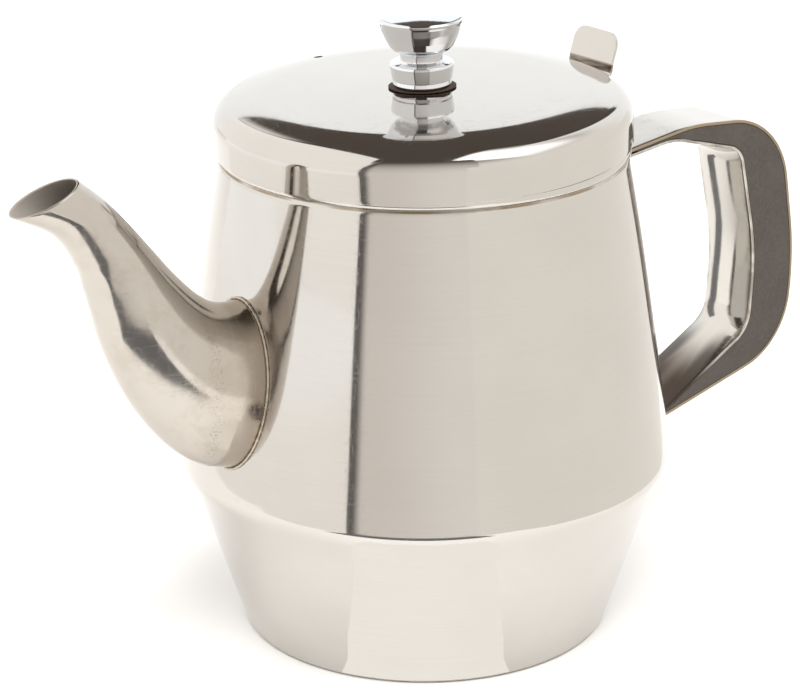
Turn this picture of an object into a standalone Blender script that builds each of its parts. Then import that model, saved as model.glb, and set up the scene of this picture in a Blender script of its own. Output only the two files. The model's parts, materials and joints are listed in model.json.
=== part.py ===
"""Stainless steel gooseneck teapot with a hinged slip-over lid, a turned knob and a strap handle.

World frame: +Z up, the pot's turning axis is Z, z = 0 is the underside of the base.
The spout points along -X and the handle along +X, so the XZ plane is the plane of symmetry.
Dimensions are written in millimetres times MM, which gives metres.
"""
import math

import bmesh
import bpy
from mathutils import Matrix, Vector

MM = 0.001
FIT_GAP = 0.3 * MM              # clearance kept between pieces that touch in the real object

# Body, a drawn cup
BODY_RADIUS = 75.0 * MM         # at the shoulder, the widest place
BODY_WALL = 0.8 * MM
SHOULDER_Z = 54.5 * MM
RIM_Z = 147.2 * MM              # underside of the rolled rim
RIM_RADIUS = 60.9 * MM
RIM_BEAD = 0.75 * MM
RIM_BEAD_INSET = 0.2 * MM       # centre of the rolled rim inside the wall's outer face
WALL_TOP_Z = 146.8 * MM         # where the wall runs into the rolled rim
BASE_RADIUS = 56.9 * MM
BASE_FLAT_RADIUS = 44.9 * MM
BASE_CORNER = 2.2 * MM
FLOOR_THICKNESS = 1.0 * MM
FLOOR_CORNER = 2.0 * MM         # radius between the floor and the wall, inside
FLOOR_CORNER_INSET = 3.6 * MM
INNER_WALL_LOW = 3.5 * MM       # height where the inner wall starts

# Strainer, round holes punched through the wall behind the spout
STRAINER_Z = 88.0 * MM
STRAINER_HOLE_RADIUS = 3.0 * MM
STRAINER_PITCH = 8.5 * MM
STRAINER_DRILL = 24.0 * MM

# Spout, a gooseneck tube that stands upright in the XZ plane
SPOUT_WALL = 0.8 * MM
SPOUT_BASE_Z = 90.3 * MM
SPOUT_BASE_HALF_HEIGHT = 24.9 * MM
SPOUT_BASE_HALF_WIDTH = 14.8 * MM
WELD_RADIUS = 0.75 * MM
WELD_CLEARANCE = 0.45 * MM      # between the bead and the spout

# Handle
HANDLE_WIDTH = 21.0 * MM
STRAP_THICKNESS = 1.0 * MM
GRIP_THICKNESS = 1.0 * MM
GRIP_CROWN = 1.4 * MM           # how far the grip's face bulges towards the pot
FOOT_LENGTH = 9.0 * MM          # flange of the strap that lies on the body
CORE_RECESS = 0.5 * MM          # how far the filler lies below the edges of strap and grip
CORE_MIN_DEPTH = 0.7 * MM       # where strap and grip come closer than this, the filler ends
CROWN_START = 0.08              # shares of the grip's length where the bulge starts and is full
CROWN_FULL = 0.30

# Lid and hinge; the closed lid leans a little towards the spout
LID_TILT = math.radians(1.4)
LID_RADIUS = 62.4 * MM
LID_WALL = 0.7 * MM
LID_SKIRT = 7.9 * MM            # straight part of the skirt
LID_SKIRT_DRAFT = 0.4 * MM
LID_SHOULDER = 6.4 * MM         # radius between the skirt and the top
LID_CROWN = 2.1 * MM
LID_HEM = 2.2 * MM              # skirt's edge, turned in
LID_EDGE = 0.3 * MM             # chamfer on the outside of the skirt's edge
LID_REACH = 67.75 * MM          # hinge axis to the lid's centre
LID_RISE = 2.75 * MM            # skirt's edge above the hinge axis
VENT_RADIUS = 1.4 * MM
VENT_REACH = 52.0 * MM
VENT_DRILL = 8.0 * MM
SCREW_HOLE_RADIUS = 2.4 * MM

HINGE_X = 67.8 * MM
HINGE_Z = 149.4 * MM
HINGE_WIDTH = 19.5 * MM
PIN_RADIUS = 1.2 * MM
PIN_HEAD_RADIUS = 1.9 * MM
PIN_HEAD_LENGTH = 0.8 * MM
KNUCKLE_BORE = 1.35 * MM
KNUCKLE_RADIUS = 2.2 * MM
LEAF_KNUCKLE_HALF = 3.4 * MM    # half length of the lid's middle knuckle
LEAF_THICKNESS = 0.9 * MM
TAB_CORNER = 4.5 * MM

# Knob and its fixing, heights counted from the top of the lid
KNOB_SEAT = 1.2 * MM
KNOB_SCREW_DEPTH = 9.0 * MM
WASHER_THICKNESS = 0.6 * MM
WASHER_RADIUS = 9.3 * MM
SCREW_RADIUS = 2.0 * MM
SCREW_HEAD_RADIUS = 4.0 * MM
SCREW_HEAD_HEIGHT = 2.4 * MM
SCREW_HEAD_ROUND = 1.0 * MM
SCREW_CHAMFER = 0.6 * MM
SCREW_TIP_GAP = 0.8 * MM        # left free at the bottom of the knob's hole
SCREW_WASHER_RADIUS = 5.5 * MM

# Facets round a full turn
LARGE_TURN = 48
SMALL_TURN = 24
HOLE_TURN = 16
TUBE_SIDES = 20
WELD_TURN = 40
WELD_SIDES = 8
SPOUT_STEPS = 14

MITRE_LIMIT = 0.5               # smallest cosine that a bent strip's mitre is stretched for
MERGE_DISTANCE = 0.001 * MM

STEEL = ((0.62, 0.59, 0.56), 0.22, 1.0)
BARE_STEEL = ((0.42, 0.39, 0.36), 0.45, 1.0)
CHROME = ((0.78, 0.79, 0.81), 0.06, 1.0)
FIBRE = ((0.24, 0.13, 0.07), 0.8, 0.0)
PHENOLIC = ((0.13, 0.11, 0.09), 0.6, 0.0)


# ---------------------------------------------------------------- helpers

def clear_scene():
    """Remove every object that the file holds."""
    for item in list(bpy.data.objects):
        bpy.data.objects.remove(item, do_unlink=True)


def material(name, look):
    """A Principled material from (colour, roughness, metallic)."""
    colour, roughness, metallic = look
    result = bpy.data.materials.new(name)
    result.use_nodes = True
    shader = result.node_tree.nodes["Principled BSDF"]
    shader.inputs["Base Color"].default_value = (*colour, 1.0)
    shader.inputs["Roughness"].default_value = roughness
    shader.inputs["Metallic"].default_value = metallic
    return result


def finish_object(name, mesh_data, look, smooth_angle=35.0):
    """Turn bmesh data into a linked, smooth-shaded object with its own material."""
    bmesh.ops.recalc_face_normals(mesh_data, faces=mesh_data.faces[:])
    mesh = bpy.data.meshes.new(name)
    mesh_data.to_mesh(mesh)
    mesh_data.free()
    mesh.shade_smooth()
    mesh.set_sharp_from_angle(angle=math.radians(smooth_angle))
    mesh.materials.append(material(name, look))
    item = bpy.data.objects.new(name, mesh)
    bpy.context.collection.objects.link(item)
    return item


def arc(centre, radius, start_degrees, end_degrees, steps):
    """Points (r, z) on a circular arc, both ends included."""
    points = []
    for step in range(steps + 1):
        angle = math.radians(start_degrees + (end_degrees - start_degrees) * step / steps)
        points.append((centre[0] + radius * math.cos(angle), centre[1] + radius * math.sin(angle)))
    return points


def rounded_path(corners, radii, steps=6):
    """A polyline through corner points whose inner corners are rounded by arcs."""
    path = [Vector(corners[0])]
    for before, corner, after, radius in zip(corners, corners[1:], corners[2:], radii):
        corner = Vector(corner)
        to_before = (Vector(before) - corner).normalized()
        to_after = (Vector(after) - corner).normalized()
        half_angle = to_before.angle(to_after) / 2
        bisector = (to_before + to_after).normalized()
        centre = corner + bisector * radius / math.sin(half_angle)
        tangent = radius / math.tan(half_angle)
        start = corner + to_before * tangent - centre
        end = corner + to_after * tangent - centre
        sweep = start.angle(end)
        for step in range(steps + 1):
            share = step / steps
            swing = (start * math.sin((1 - share) * sweep) + end * math.sin(share * sweep)) / math.sin(sweep)
            path.append(centre + swing)
    path.append(Vector(corners[-1]))
    return path


def spline_value(values, position):
    """Catmull-Rom value at a position from 0 to len(values) - 1."""
    index = min(int(position), len(values) - 2)
    share = position - index
    here, there = values[index], values[index + 1]
    before = values[index - 1] if index > 0 else 2 * here - there
    after = values[index + 2] if index + 2 < len(values) else 2 * there - here
    return 0.5 * (
        2 * here
        + (there - before) * share
        + (2 * before - 5 * here + 4 * there - after) * share ** 2
        + (3 * here - before - 3 * there + after) * share ** 3
    )


def turned(name, profile, look, turn=LARGE_TURN, closed=True):
    """Spin an (r, z) profile round Z. A profile that starts and ends on the axis is left open."""
    mesh_data = bmesh.new()
    verts = [mesh_data.verts.new((radius, 0.0, height)) for radius, height in profile]
    edges = [mesh_data.edges.new(pair) for pair in zip(verts, verts[1:])]
    if closed:
        edges.append(mesh_data.edges.new((verts[-1], verts[0])))
    bmesh.ops.spin(
        mesh_data,
        geom=verts + edges,
        cent=(0, 0, 0),
        axis=(0, 0, 1),
        angle=math.tau,
        steps=turn,
        use_merge=True,
    )
    bmesh.ops.remove_doubles(mesh_data, verts=mesh_data.verts[:], dist=MERGE_DISTANCE)
    bmesh.ops.dissolve_degenerate(mesh_data, edges=mesh_data.edges[:], dist=MERGE_DISTANCE)
    return finish_object(name, mesh_data, look)


def bridge_rings(mesh_data, rings, closed=False):
    """Faces between neighbouring rings of the same number of vertices."""
    pairs = list(zip(rings, rings[1:]))
    if closed:
        pairs.append((rings[-1], rings[0]))
    for ring, following in pairs:
        count = len(ring)
        for index in range(count):
            after = (index + 1) % count
            mesh_data.faces.new((ring[index], ring[after], following[after], following[index]))


def strip_object(name, path, thickness, width, look, across=1, crown=None):
    """Sheet metal bent along a path in the XZ plane and centred on y = 0.

    The path is one face of the sheet. The other face is offset to the left of the path's
    direction. crown(share) gives how far the middle of the sheet bulges to the left.
    """
    mesh_data = bmesh.new()
    rings = []
    last = len(path) - 1
    for index, point in enumerate(path):
        before = path[max(index - 1, 0)]
        after = path[min(index + 1, last)]
        direction_in = (point - before).normalized() if index > 0 else (after - point).normalized()
        direction_out = (after - point).normalized() if index < last else direction_in
        direction = (direction_in + direction_out).normalized()
        normal = Vector((-direction.y, direction.x))
        stretch = 1 / max(direction.dot(direction_in), MITRE_LIMIT)
        bulge = crown(index / last) if crown else 0.0
        near, far = [], []
        for step in range(across + 1):
            share = 2 * step / across - 1
            lift = bulge * (1 - share * share)
            y = share * width / 2
            face = point + normal * lift
            back = point + normal * (lift + thickness * stretch)
            near.append(mesh_data.verts.new((face.x, y, face.y)))
            far.append(mesh_data.verts.new((back.x, y, back.y)))
        rings.append(near + far[::-1])
    bridge_rings(mesh_data, rings)
    for ring in (rings[0], rings[-1]):
        half = len(ring) // 2
        for step in range(half - 1):
            mesh_data.faces.new((ring[step], ring[step + 1], ring[-2 - step], ring[-1 - step]))
    return finish_object(name, mesh_data, look)


def cylinder_object(name, radius, length, look, axis="Y", turn=SMALL_TURN):
    """A plain solid cylinder centred on the origin."""
    mesh_data = bmesh.new()
    bmesh.ops.create_cone(
        mesh_data, cap_ends=True, segments=turn, radius1=radius, radius2=radius, depth=length
    )
    if axis == "Y":
        bmesh.ops.rotate(mesh_data, verts=mesh_data.verts[:], matrix=Matrix.Rotation(math.pi / 2, 3, "X"))
    if axis == "X":
        bmesh.ops.rotate(mesh_data, verts=mesh_data.verts[:], matrix=Matrix.Rotation(math.pi / 2, 3, "Y"))
    return finish_object(name, mesh_data, look)


def box_object(name, low, high, look):
    """A box between two corners."""
    mesh_data = bmesh.new()
    bmesh.ops.create_cube(mesh_data, size=1.0)
    middle = (Vector(low) + Vector(high)) / 2
    size = Vector(high) - Vector(low)
    for vert in mesh_data.verts:
        vert.co = Vector((vert.co.x * size.x, vert.co.y * size.y, vert.co.z * size.z)) + middle
    return finish_object(name, mesh_data, look)


def combine(target, tool, operation):
    """Apply a Boolean with a helper object, then remove the helper."""
    modifier = target.modifiers.new(operation.title(), "BOOLEAN")
    modifier.operation = operation
    modifier.solver = "EXACT"
    modifier.object = tool
    bpy.context.view_layer.update()
    evaluated = target.evaluated_get(bpy.context.evaluated_depsgraph_get())
    mesh = bpy.data.meshes.new_from_object(evaluated)
    target.modifiers.clear()
    target.data = mesh
    bpy.data.objects.remove(tool, do_unlink=True)


# ---------------------------------------------------------------- body

def body_outline():
    """Outer (r, z) outline of the cup, from the base's centre to the rim."""
    outline = [(0.0, 0.0), (BASE_FLAT_RADIUS, 0.0)]
    outline += arc((BASE_RADIUS - BASE_CORNER, BASE_CORNER), BASE_CORNER, -90, -16, 4)
    outline += [
        (61.1 * MM, 14.7 * MM),
        (64.8 * MM, 26.5 * MM),
        (68.1 * MM, 36.8 * MM),
        (70.8 * MM, 44.2 * MM),
        (72.3 * MM, 47.6 * MM),
        (73.6 * MM, 50.3 * MM),
        (74.7 * MM, 52.8 * MM),
        (BODY_RADIUS, SHOULDER_Z),
        (74.75 * MM, 57.0 * MM),
        (74.3 * MM, 60.3 * MM),
        (73.6 * MM, 65.0 * MM),
        (70.4 * MM, 88.3 * MM),
        (66.0 * MM, 117.8 * MM),
        (RIM_RADIUS, WALL_TOP_Z),
    ]
    return outline


def body_radius(height):
    """Outer radius of the cup at a height above the base's corner."""
    outline = body_outline()[3:]
    for (low_radius, low), (high_radius, high) in zip(outline, outline[1:]):
        if low <= height <= high:
            return low_radius + (high_radius - low_radius) * (height - low) / (high - low)
    raise ValueError("height is outside the body")


def make_body():
    """The cup, with its rolled rim and the strainer holes."""
    outer = body_outline()
    bead_centre = (RIM_RADIUS - RIM_BEAD_INSET, RIM_Z + RIM_BEAD)
    bead = arc(bead_centre, RIM_BEAD, -50, 200, 7)
    inner = []
    for (radius, height), (next_radius, next_height) in zip(outer[3:-1], outer[4:]):
        slope = math.atan2(next_height - height, next_radius - radius)
        inner.append((radius - BODY_WALL * math.sin(slope), height + BODY_WALL * math.cos(slope)))
    inner = [point for point in inner if point[1] > INNER_WALL_LOW]
    corner_centre = (BASE_RADIUS - FLOOR_CORNER_INSET, FLOOR_THICKNESS + FLOOR_CORNER)
    corner = arc(corner_centre, FLOOR_CORNER, -10, -90, 3)
    profile = outer + bead + inner[::-1] + corner + [(0.0, FLOOR_THICKNESS)]
    body = turned("body_shell", profile, STEEL, closed=False)
    for y, z in strainer_centres():
        drill = cylinder_object("drill", STRAINER_HOLE_RADIUS, STRAINER_DRILL, STEEL, axis="X", turn=HOLE_TURN)
        drill.location = (-body_radius(STRAINER_Z), y, z)
        combine(body, drill, "DIFFERENCE")
    return body


def strainer_centres():
    """Centres (y, z) of the strainer holes: one in the middle and six round it."""
    centres = [(0.0, STRAINER_Z)]
    for index in range(6):
        angle = math.radians(60 * index + 30)
        centres.append((STRAINER_PITCH * math.cos(angle), STRAINER_Z + STRAINER_PITCH * math.sin(angle)))
    return centres


# ---------------------------------------------------------------- spout

# Upper and lower outline points (distance from the pot's axis, height) and half width, base to mouth
SPOUT_SECTIONS = [
    ((70.6, 115.2), (83.0, 68.8), 14.8),
    ((75.0, 116.2), (92.0, 75.5), 14.3),
    ((79.2, 118.4), (101.0, 86.5), 13.3),
    ((84.2, 122.6), (108.0, 99.0), 12.4),
    ((90.5, 129.4), (112.7, 111.0), 11.7),
    ((97.5, 138.0), (116.0, 124.0), 10.8),
    ((104.5, 146.7), (119.6, 136.0), 9.6),
    ((111.5, 154.6), (127.0, 146.6), 8.3),
    ((118.8, 161.0), (139.3, 154.0), 7.2),
]


def spout_base_ring(mesh_data, inset):
    """Ring of the spout's base, which follows the round body at a small gap."""
    ring = []
    for index in range(TUBE_SIDES):
        angle = math.tau * index / TUBE_SIDES
        y = (SPOUT_BASE_HALF_WIDTH - inset) * math.sin(angle)
        z = SPOUT_BASE_Z + (SPOUT_BASE_HALF_HEIGHT - inset) * math.cos(angle)
        reach = body_radius(z) + FIT_GAP
        ring.append(mesh_data.verts.new((-math.sqrt(reach ** 2 - y ** 2), y, z)))
    return ring


def spout_ring(mesh_data, position, inset):
    """Elliptical ring of the spout at a position along its sections."""
    upper = Vector([spline_value([section[0][axis] * MM for section in SPOUT_SECTIONS], position)
                    for axis in range(2)])
    lower = Vector([spline_value([section[1][axis] * MM for section in SPOUT_SECTIONS], position)
                    for axis in range(2)])
    half_width = spline_value([section[2] * MM for section in SPOUT_SECTIONS], position) - inset
    centre = (upper + lower) / 2
    half_depth = (upper - lower) / 2
    half_depth = half_depth * (1 - inset / half_depth.length)
    ring = []
    for index in range(TUBE_SIDES):
        angle = math.tau * index / TUBE_SIDES
        point = centre + half_depth * math.cos(angle)
        ring.append(mesh_data.verts.new((-point.x, half_width * math.sin(angle), point.y)))
    return ring


def make_spout():
    """The gooseneck, a tube that is open at the body and at the mouth."""
    mesh_data = bmesh.new()
    walls = []
    for inset in (0.0, SPOUT_WALL):
        wall = [spout_base_ring(mesh_data, inset)]
        for step in range(SPOUT_STEPS + 1):
            position = (len(SPOUT_SECTIONS) - 1) * step / SPOUT_STEPS
            wall.append(spout_ring(mesh_data, position, inset))
        walls.append(wall)
    bridge_rings(mesh_data, walls[0] + walls[1][::-1], closed=True)
    return finish_object("spout", mesh_data, STEEL)


def make_spout_weld():
    """Weld bead round the spout's base."""
    mesh_data = bmesh.new()
    grow = WELD_RADIUS + WELD_CLEARANCE
    rings = []
    for index in range(WELD_TURN):
        angle = math.tau * index / WELD_TURN
        outward = Vector((0, math.sin(angle), math.cos(angle)))
        y = (SPOUT_BASE_HALF_WIDTH + grow) * outward.y
        z = SPOUT_BASE_Z + (SPOUT_BASE_HALF_HEIGHT + grow) * outward.z
        reach = body_radius(z) + FIT_GAP + WELD_RADIUS
        radial = Vector((-math.sqrt(reach ** 2 - y ** 2), y, 0)).normalized()
        centre = radial * reach + Vector((0, 0, z))
        along_y = (SPOUT_BASE_HALF_WIDTH + grow) * math.cos(angle)
        along_z = -(SPOUT_BASE_HALF_HEIGHT + grow) * math.sin(angle)
        tangent = Vector((y * along_y / max(abs(radial.x * reach), MM), along_y, along_z)).normalized()
        side = tangent.cross(radial).normalized()
        ring = []
        for corner in range(WELD_SIDES):
            swing = math.tau * corner / WELD_SIDES
            offset = (radial * math.cos(swing) + side * math.sin(swing)) * WELD_RADIUS
            ring.append(mesh_data.verts.new(centre + offset))
        rings.append(ring)
    bridge_rings(mesh_data, rings, closed=True)
    return finish_object("spout_weld", mesh_data, BARE_STEEL, smooth_angle=60.0)


# ---------------------------------------------------------------- handle

STRAP_CORNERS = [(100.0, 140.0), (139.1, 136.2), (147.4, 88.0), (144.6, 56.3)]
STRAP_RADII = [60.0, 28.0, 100.0, 25.0]
STRAP_TOP_Z = 135.3 * MM
STRAP_BOTTOM_Z = 38.1 * MM
FOOT_BEND = 3.0 * MM
GRIP_CORNERS = [
    (69.0, 134.5),
    (92.0, 137.1),
    (121.8, 128.6),
    (129.8, 92.0),
    (128.2, 65.1),
    (90.0, 44.6),
    (76.0, 41.2),
]
GRIP_RADII = [25.0, 9.0, 80.0, 12.0, 30.0]


def strap_path():
    """Outer face of the strap, from the lower foot up and round to the upper foot."""
    clear = FIT_GAP + STRAP_THICKNESS
    low_end = STRAP_BOTTOM_Z - FOOT_LENGTH
    top_end = STRAP_TOP_Z - FOOT_LENGTH
    lower = [
        (body_radius(low_end) + clear, low_end),
        (body_radius(STRAP_BOTTOM_Z) + clear, STRAP_BOTTOM_Z),
    ]
    upper = [(body_radius(STRAP_TOP_Z) + FIT_GAP, STRAP_TOP_Z), (body_radius(top_end) + FIT_GAP, top_end)]
    outer = [(x * MM, z * MM) for x, z in reversed(STRAP_CORNERS)]
    radii = [FOOT_BEND] + [radius * MM for radius in reversed(STRAP_RADII)] + [FOOT_BEND]
    return rounded_path(lower + outer + upper, radii, steps=5)


def grip_crown(share):
    """Bulge of the grip along its length, flat at both ends where it lies on the strap."""
    ramp = (min(share, 1 - share) - CROWN_START) / (CROWN_FULL - CROWN_START)
    ramp = min(max(ramp, 0.0), 1.0)
    return GRIP_CROWN * ramp * ramp * (3 - 2 * ramp)


def grip_path():
    """Face of the grip that looks at the strap, from its lower end up and round to its upper end."""
    corners = [(x * MM, z * MM) for x, z in reversed(GRIP_CORNERS)]
    radii = [radius * MM for radius in reversed(GRIP_RADII)]
    return rounded_path(corners, radii, steps=6)


def offset_path(path, distance):
    """The path moved to the left of its direction, with mitred corners."""
    moved = []
    for before, point, after in zip([path[0]] + path, path, path[1:] + [path[-1]]):
        arriving = (point - before).normalized() if point != before else (after - point).normalized()
        leaving = (after - point).normalized() if after != point else arriving
        direction = (arriving + leaving).normalized()
        normal = Vector((-direction.y, direction.x))
        moved.append(point + normal * distance / max(direction.dot(arriving), MITRE_LIMIT))
    return moved


def distance_to_path(point, path):
    """Shortest distance from a point to a polyline."""
    nearest = []
    for start, end in zip(path, path[1:]):
        run = end - start
        share = min(max((point - start).dot(run) / run.length_squared, 0.0), 1.0)
        nearest.append((point - start - run * share).length)
    return min(nearest)


def make_handle_core():
    """Filler block with flat sides, as deep as the space between strap and grip."""
    strap_side = offset_path(strap_path(), STRAP_THICKNESS + FIT_GAP)
    grip_side = offset_path(grip_path(), -FIT_GAP)
    outer = [point for point in strap_side if distance_to_path(point, grip_side) > CORE_MIN_DEPTH]
    outer = [point for point in outer if point.x > grip_side[0].x]
    inner = [point for point in grip_side if distance_to_path(point, strap_side) > CORE_MIN_DEPTH]
    half_width = HANDLE_WIDTH / 2 - CORE_RECESS
    mesh_data = bmesh.new()
    verts = [mesh_data.verts.new((point.x, -half_width, point.y)) for point in outer + inner[::-1]]
    face = mesh_data.faces.new(verts)
    side = bmesh.ops.extrude_face_region(mesh_data, geom=[face])
    moved = [item for item in side["geom"] if isinstance(item, bmesh.types.BMVert)]
    bmesh.ops.translate(mesh_data, verts=moved, vec=(0, 2 * half_width, 0))
    return finish_object("handle_core", mesh_data, PHENOLIC)


def make_handle():
    """The outer strap, the crowned grip inside it and the filler between them."""
    strip_object("handle_strap", strap_path(), STRAP_THICKNESS, HANDLE_WIDTH, BARE_STEEL)
    strip_object("handle_grip", grip_path(), GRIP_THICKNESS, HANDLE_WIDTH, STEEL, across=6, crown=grip_crown)
    make_handle_core()


# ---------------------------------------------------------------- hinge

# Both leaves as (x, z) counted from the hinge axis
BRACKET_LOW = -11.2 * MM
BRACKET_HIGH = -3.8 * MM
BRACKET_NECK = [(-4.2, -3.0), (-1.55, -1.0)]
LEAF_CORNERS = [(-1.2, 1.3), (-4.2, 3.6), (-4.2, 9.3), (-1.9, 12.6), (-1.4, 15.4), (1.6, 24.1)]
LEAF_RADII = [1.0, 2.0, 2.0, 3.0]
RELIEF_X = (-8.0 * MM, 4.0 * MM)        # cut away beside the middle knuckle
RELIEF_Z = (-4.0 * MM, 3.4 * MM)


def make_hinge_bracket():
    """Leaf on the body, with the two outer knuckles."""
    path = []
    for height in (HINGE_Z + BRACKET_LOW, HINGE_Z + BRACKET_HIGH):
        path.append(Vector((body_radius(height) + FIT_GAP, height)))
    path += [Vector((HINGE_X + x * MM, HINGE_Z + z * MM)) for x, z in BRACKET_NECK]
    bracket = strip_object("hinge_bracket", path[::-1], LEAF_THICKNESS, HINGE_WIDTH, STEEL)
    knuckle = cylinder_object("knuckle", KNUCKLE_RADIUS, HINGE_WIDTH, STEEL)
    knuckle.location = (HINGE_X, 0, HINGE_Z)
    combine(bracket, knuckle, "UNION")
    bore = cylinder_object("bore", KNUCKLE_BORE, 2 * HINGE_WIDTH, STEEL)
    bore.location = (HINGE_X, 0, HINGE_Z)
    combine(bracket, bore, "DIFFERENCE")
    slot_half = LEAF_KNUCKLE_HALF + FIT_GAP
    slot_reach = KNUCKLE_RADIUS + FIT_GAP + LEAF_THICKNESS / 2
    slot = box_object(
        "slot",
        (HINGE_X - slot_reach, -slot_half, HINGE_Z - slot_reach),
        (HINGE_X + slot_reach, slot_half, HINGE_Z + slot_reach),
        STEEL,
    )
    combine(bracket, slot, "DIFFERENCE")
    return bracket


def make_hinge_leaf(lid_axis):
    """Leaf on the lid's skirt: middle knuckle below, thumb tab above. Origin on the hinge axis."""
    corners = [(x * MM, z * MM) for x, z in LEAF_CORNERS]
    path = rounded_path(corners, [radius * MM for radius in LEAF_RADII], steps=3)
    leaf = strip_object("hinge_leaf", path, LEAF_THICKNESS, HINGE_WIDTH, STEEL)
    round_tab_corners(leaf)
    for side in (-1, 1):
        y_limits = sorted((side * LEAF_KNUCKLE_HALF, side * HINGE_WIDTH))
        low = (RELIEF_X[0], y_limits[0], RELIEF_Z[0])
        high = (RELIEF_X[1], y_limits[1], RELIEF_Z[1])
        combine(leaf, box_object("relief", low, high, STEEL), "DIFFERENCE")
    knuckle = cylinder_object("knuckle", KNUCKLE_RADIUS, 2 * LEAF_KNUCKLE_HALF, STEEL)
    combine(leaf, knuckle, "UNION")
    bore = cylinder_object("bore", KNUCKLE_BORE, HINGE_WIDTH, STEEL)
    combine(leaf, bore, "DIFFERENCE")
    leaf.parent = lid_axis
    return leaf


def round_tab_corners(leaf):
    """Round the two upper corners of the thumb tab."""
    mesh_data = bmesh.new()
    mesh_data.from_mesh(leaf.data)
    top = max(vert.co.z for vert in mesh_data.verts)
    corner_edges = []
    for edge in mesh_data.edges:
        first, second = edge.verts
        same_side = abs(first.co.y - second.co.y) < 0.01 * MM
        at_tip = min(first.co.z, second.co.z) > top - LEAF_THICKNESS
        if same_side and at_tip and edge.calc_length() < 1.5 * LEAF_THICKNESS:
            corner_edges.append(edge)
    bmesh.ops.bevel(mesh_data, geom=corner_edges, offset=TAB_CORNER, segments=5, profile=0.5, affect="EDGES")
    mesh_data.to_mesh(leaf.data)
    mesh_data.free()


def make_hinge_pin():
    """Pin through the three knuckles, with a flat head at each end."""
    reach = HINGE_WIDTH / 2 + FIT_GAP
    profile = [
        (0.0, -reach - PIN_HEAD_LENGTH),
        (PIN_HEAD_RADIUS, -reach - PIN_HEAD_LENGTH),
        (PIN_HEAD_RADIUS, -reach),
        (PIN_RADIUS, -reach),
        (PIN_RADIUS, reach),
        (PIN_HEAD_RADIUS, reach),
        (PIN_HEAD_RADIUS, reach + PIN_HEAD_LENGTH),
        (0.0, reach + PIN_HEAD_LENGTH),
    ]
    pin = turned("hinge_pin", profile, BARE_STEEL, turn=SMALL_TURN, closed=False)
    pin.rotation_euler = (math.pi / 2, 0, 0)
    pin.location = (HINGE_X, 0, HINGE_Z)
    return pin


# ---------------------------------------------------------------- lid, knob and fixing

LID_TOP = LID_SKIRT + LID_SHOULDER + LID_CROWN
LID_TOP_RADIUS = LID_RADIUS - LID_SKIRT_DRAFT - LID_SHOULDER
LID_CROWN_SHARES = (0.75, 0.5, 0.25)

# Knob from its foot to the middle of its head: radius, height above the lid
KNOB_OUTSIDE = [
    (6.9, 1.2),
    (8.0, 1.8),
    (8.7, 2.5),
    (8.5, 2.7),
    (8.9, 2.9),
    (9.5, 7.0),
    (9.3, 7.6),
    (6.6, 8.0),
    (6.3, 8.5),
    (6.3, 10.5),
    (6.8, 11.1),
    (8.4, 11.7),
    (9.6, 12.9),
    (10.6, 14.9),
    (11.6, 17.4),
    (12.15, 19.6),
    (12.6, 20.2),
    (12.7, 20.7),
    (12.3, 21.1),
    (6.0, 21.6),
    (0.0, 21.8),
]


def lid_top_height(radius, drop=0.0):
    """Height of the lid's crowned top at a radius, above the skirt's edge."""
    return LID_TOP - LID_CROWN * (radius / LID_TOP_RADIUS) ** 2 - drop


def place_on_lid(item, lid_axis):
    """Parent a piece that is modelled on the lid's own axis."""
    item.parent = lid_axis
    item.location = (-LID_REACH, 0, LID_RISE)


def make_lid(lid_axis):
    """The drawn cap, with its turned-in edge, screw hole and vent hole."""
    crown_radii = [LID_TOP_RADIUS * share for share in LID_CROWN_SHARES] + [SCREW_HOLE_RADIUS]
    outer = [(LID_RADIUS - LID_HEM, 0.0), (LID_RADIUS - LID_EDGE, 0.0), (LID_RADIUS, LID_EDGE)]
    outer += arc((LID_TOP_RADIUS, LID_SKIRT), LID_SHOULDER, 0, 88, 7)
    outer += [(radius, lid_top_height(radius)) for radius in crown_radii]
    inner = [(radius, lid_top_height(radius, LID_WALL)) for radius in reversed(crown_radii)]
    inner += arc((LID_TOP_RADIUS, LID_SKIRT), LID_SHOULDER - LID_WALL, 88, 0, 5)
    inner += [(LID_RADIUS - LID_WALL, LID_WALL), (LID_RADIUS - LID_HEM, LID_WALL)]
    lid = turned("lid_shell", outer + inner, STEEL)
    drill = cylinder_object("drill", VENT_RADIUS, VENT_DRILL, STEEL, axis="Z", turn=HOLE_TURN)
    drill.location = (0, VENT_REACH, LID_SKIRT + LID_SHOULDER)
    combine(lid, drill, "DIFFERENCE")
    place_on_lid(lid, lid_axis)
    return lid


def make_knob(lid_axis):
    """Turned knob: waist, collar, neck, flared head with a thin lip, and a blind screw hole."""
    outside = [(radius * MM, LID_TOP + height * MM) for radius, height in reversed(KNOB_OUTSIDE)]
    hole_top = LID_TOP + KNOB_SEAT + KNOB_SCREW_DEPTH
    inside = [(SCREW_HOLE_RADIUS, LID_TOP + KNOB_SEAT), (SCREW_HOLE_RADIUS, hole_top), (0.0, hole_top)]
    knob = turned("knob", outside + inside, CHROME, turn=SMALL_TURN, closed=False)
    place_on_lid(knob, lid_axis)
    return knob


def make_ring(name, inner_radius, outer_radius, low, high, look, lid_axis):
    """A flat washer on the lid's axis."""
    profile = [(inner_radius, low), (outer_radius, low), (outer_radius, high), (inner_radius, high)]
    ring = turned(name, profile, look, turn=SMALL_TURN)
    place_on_lid(ring, lid_axis)
    return ring


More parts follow.
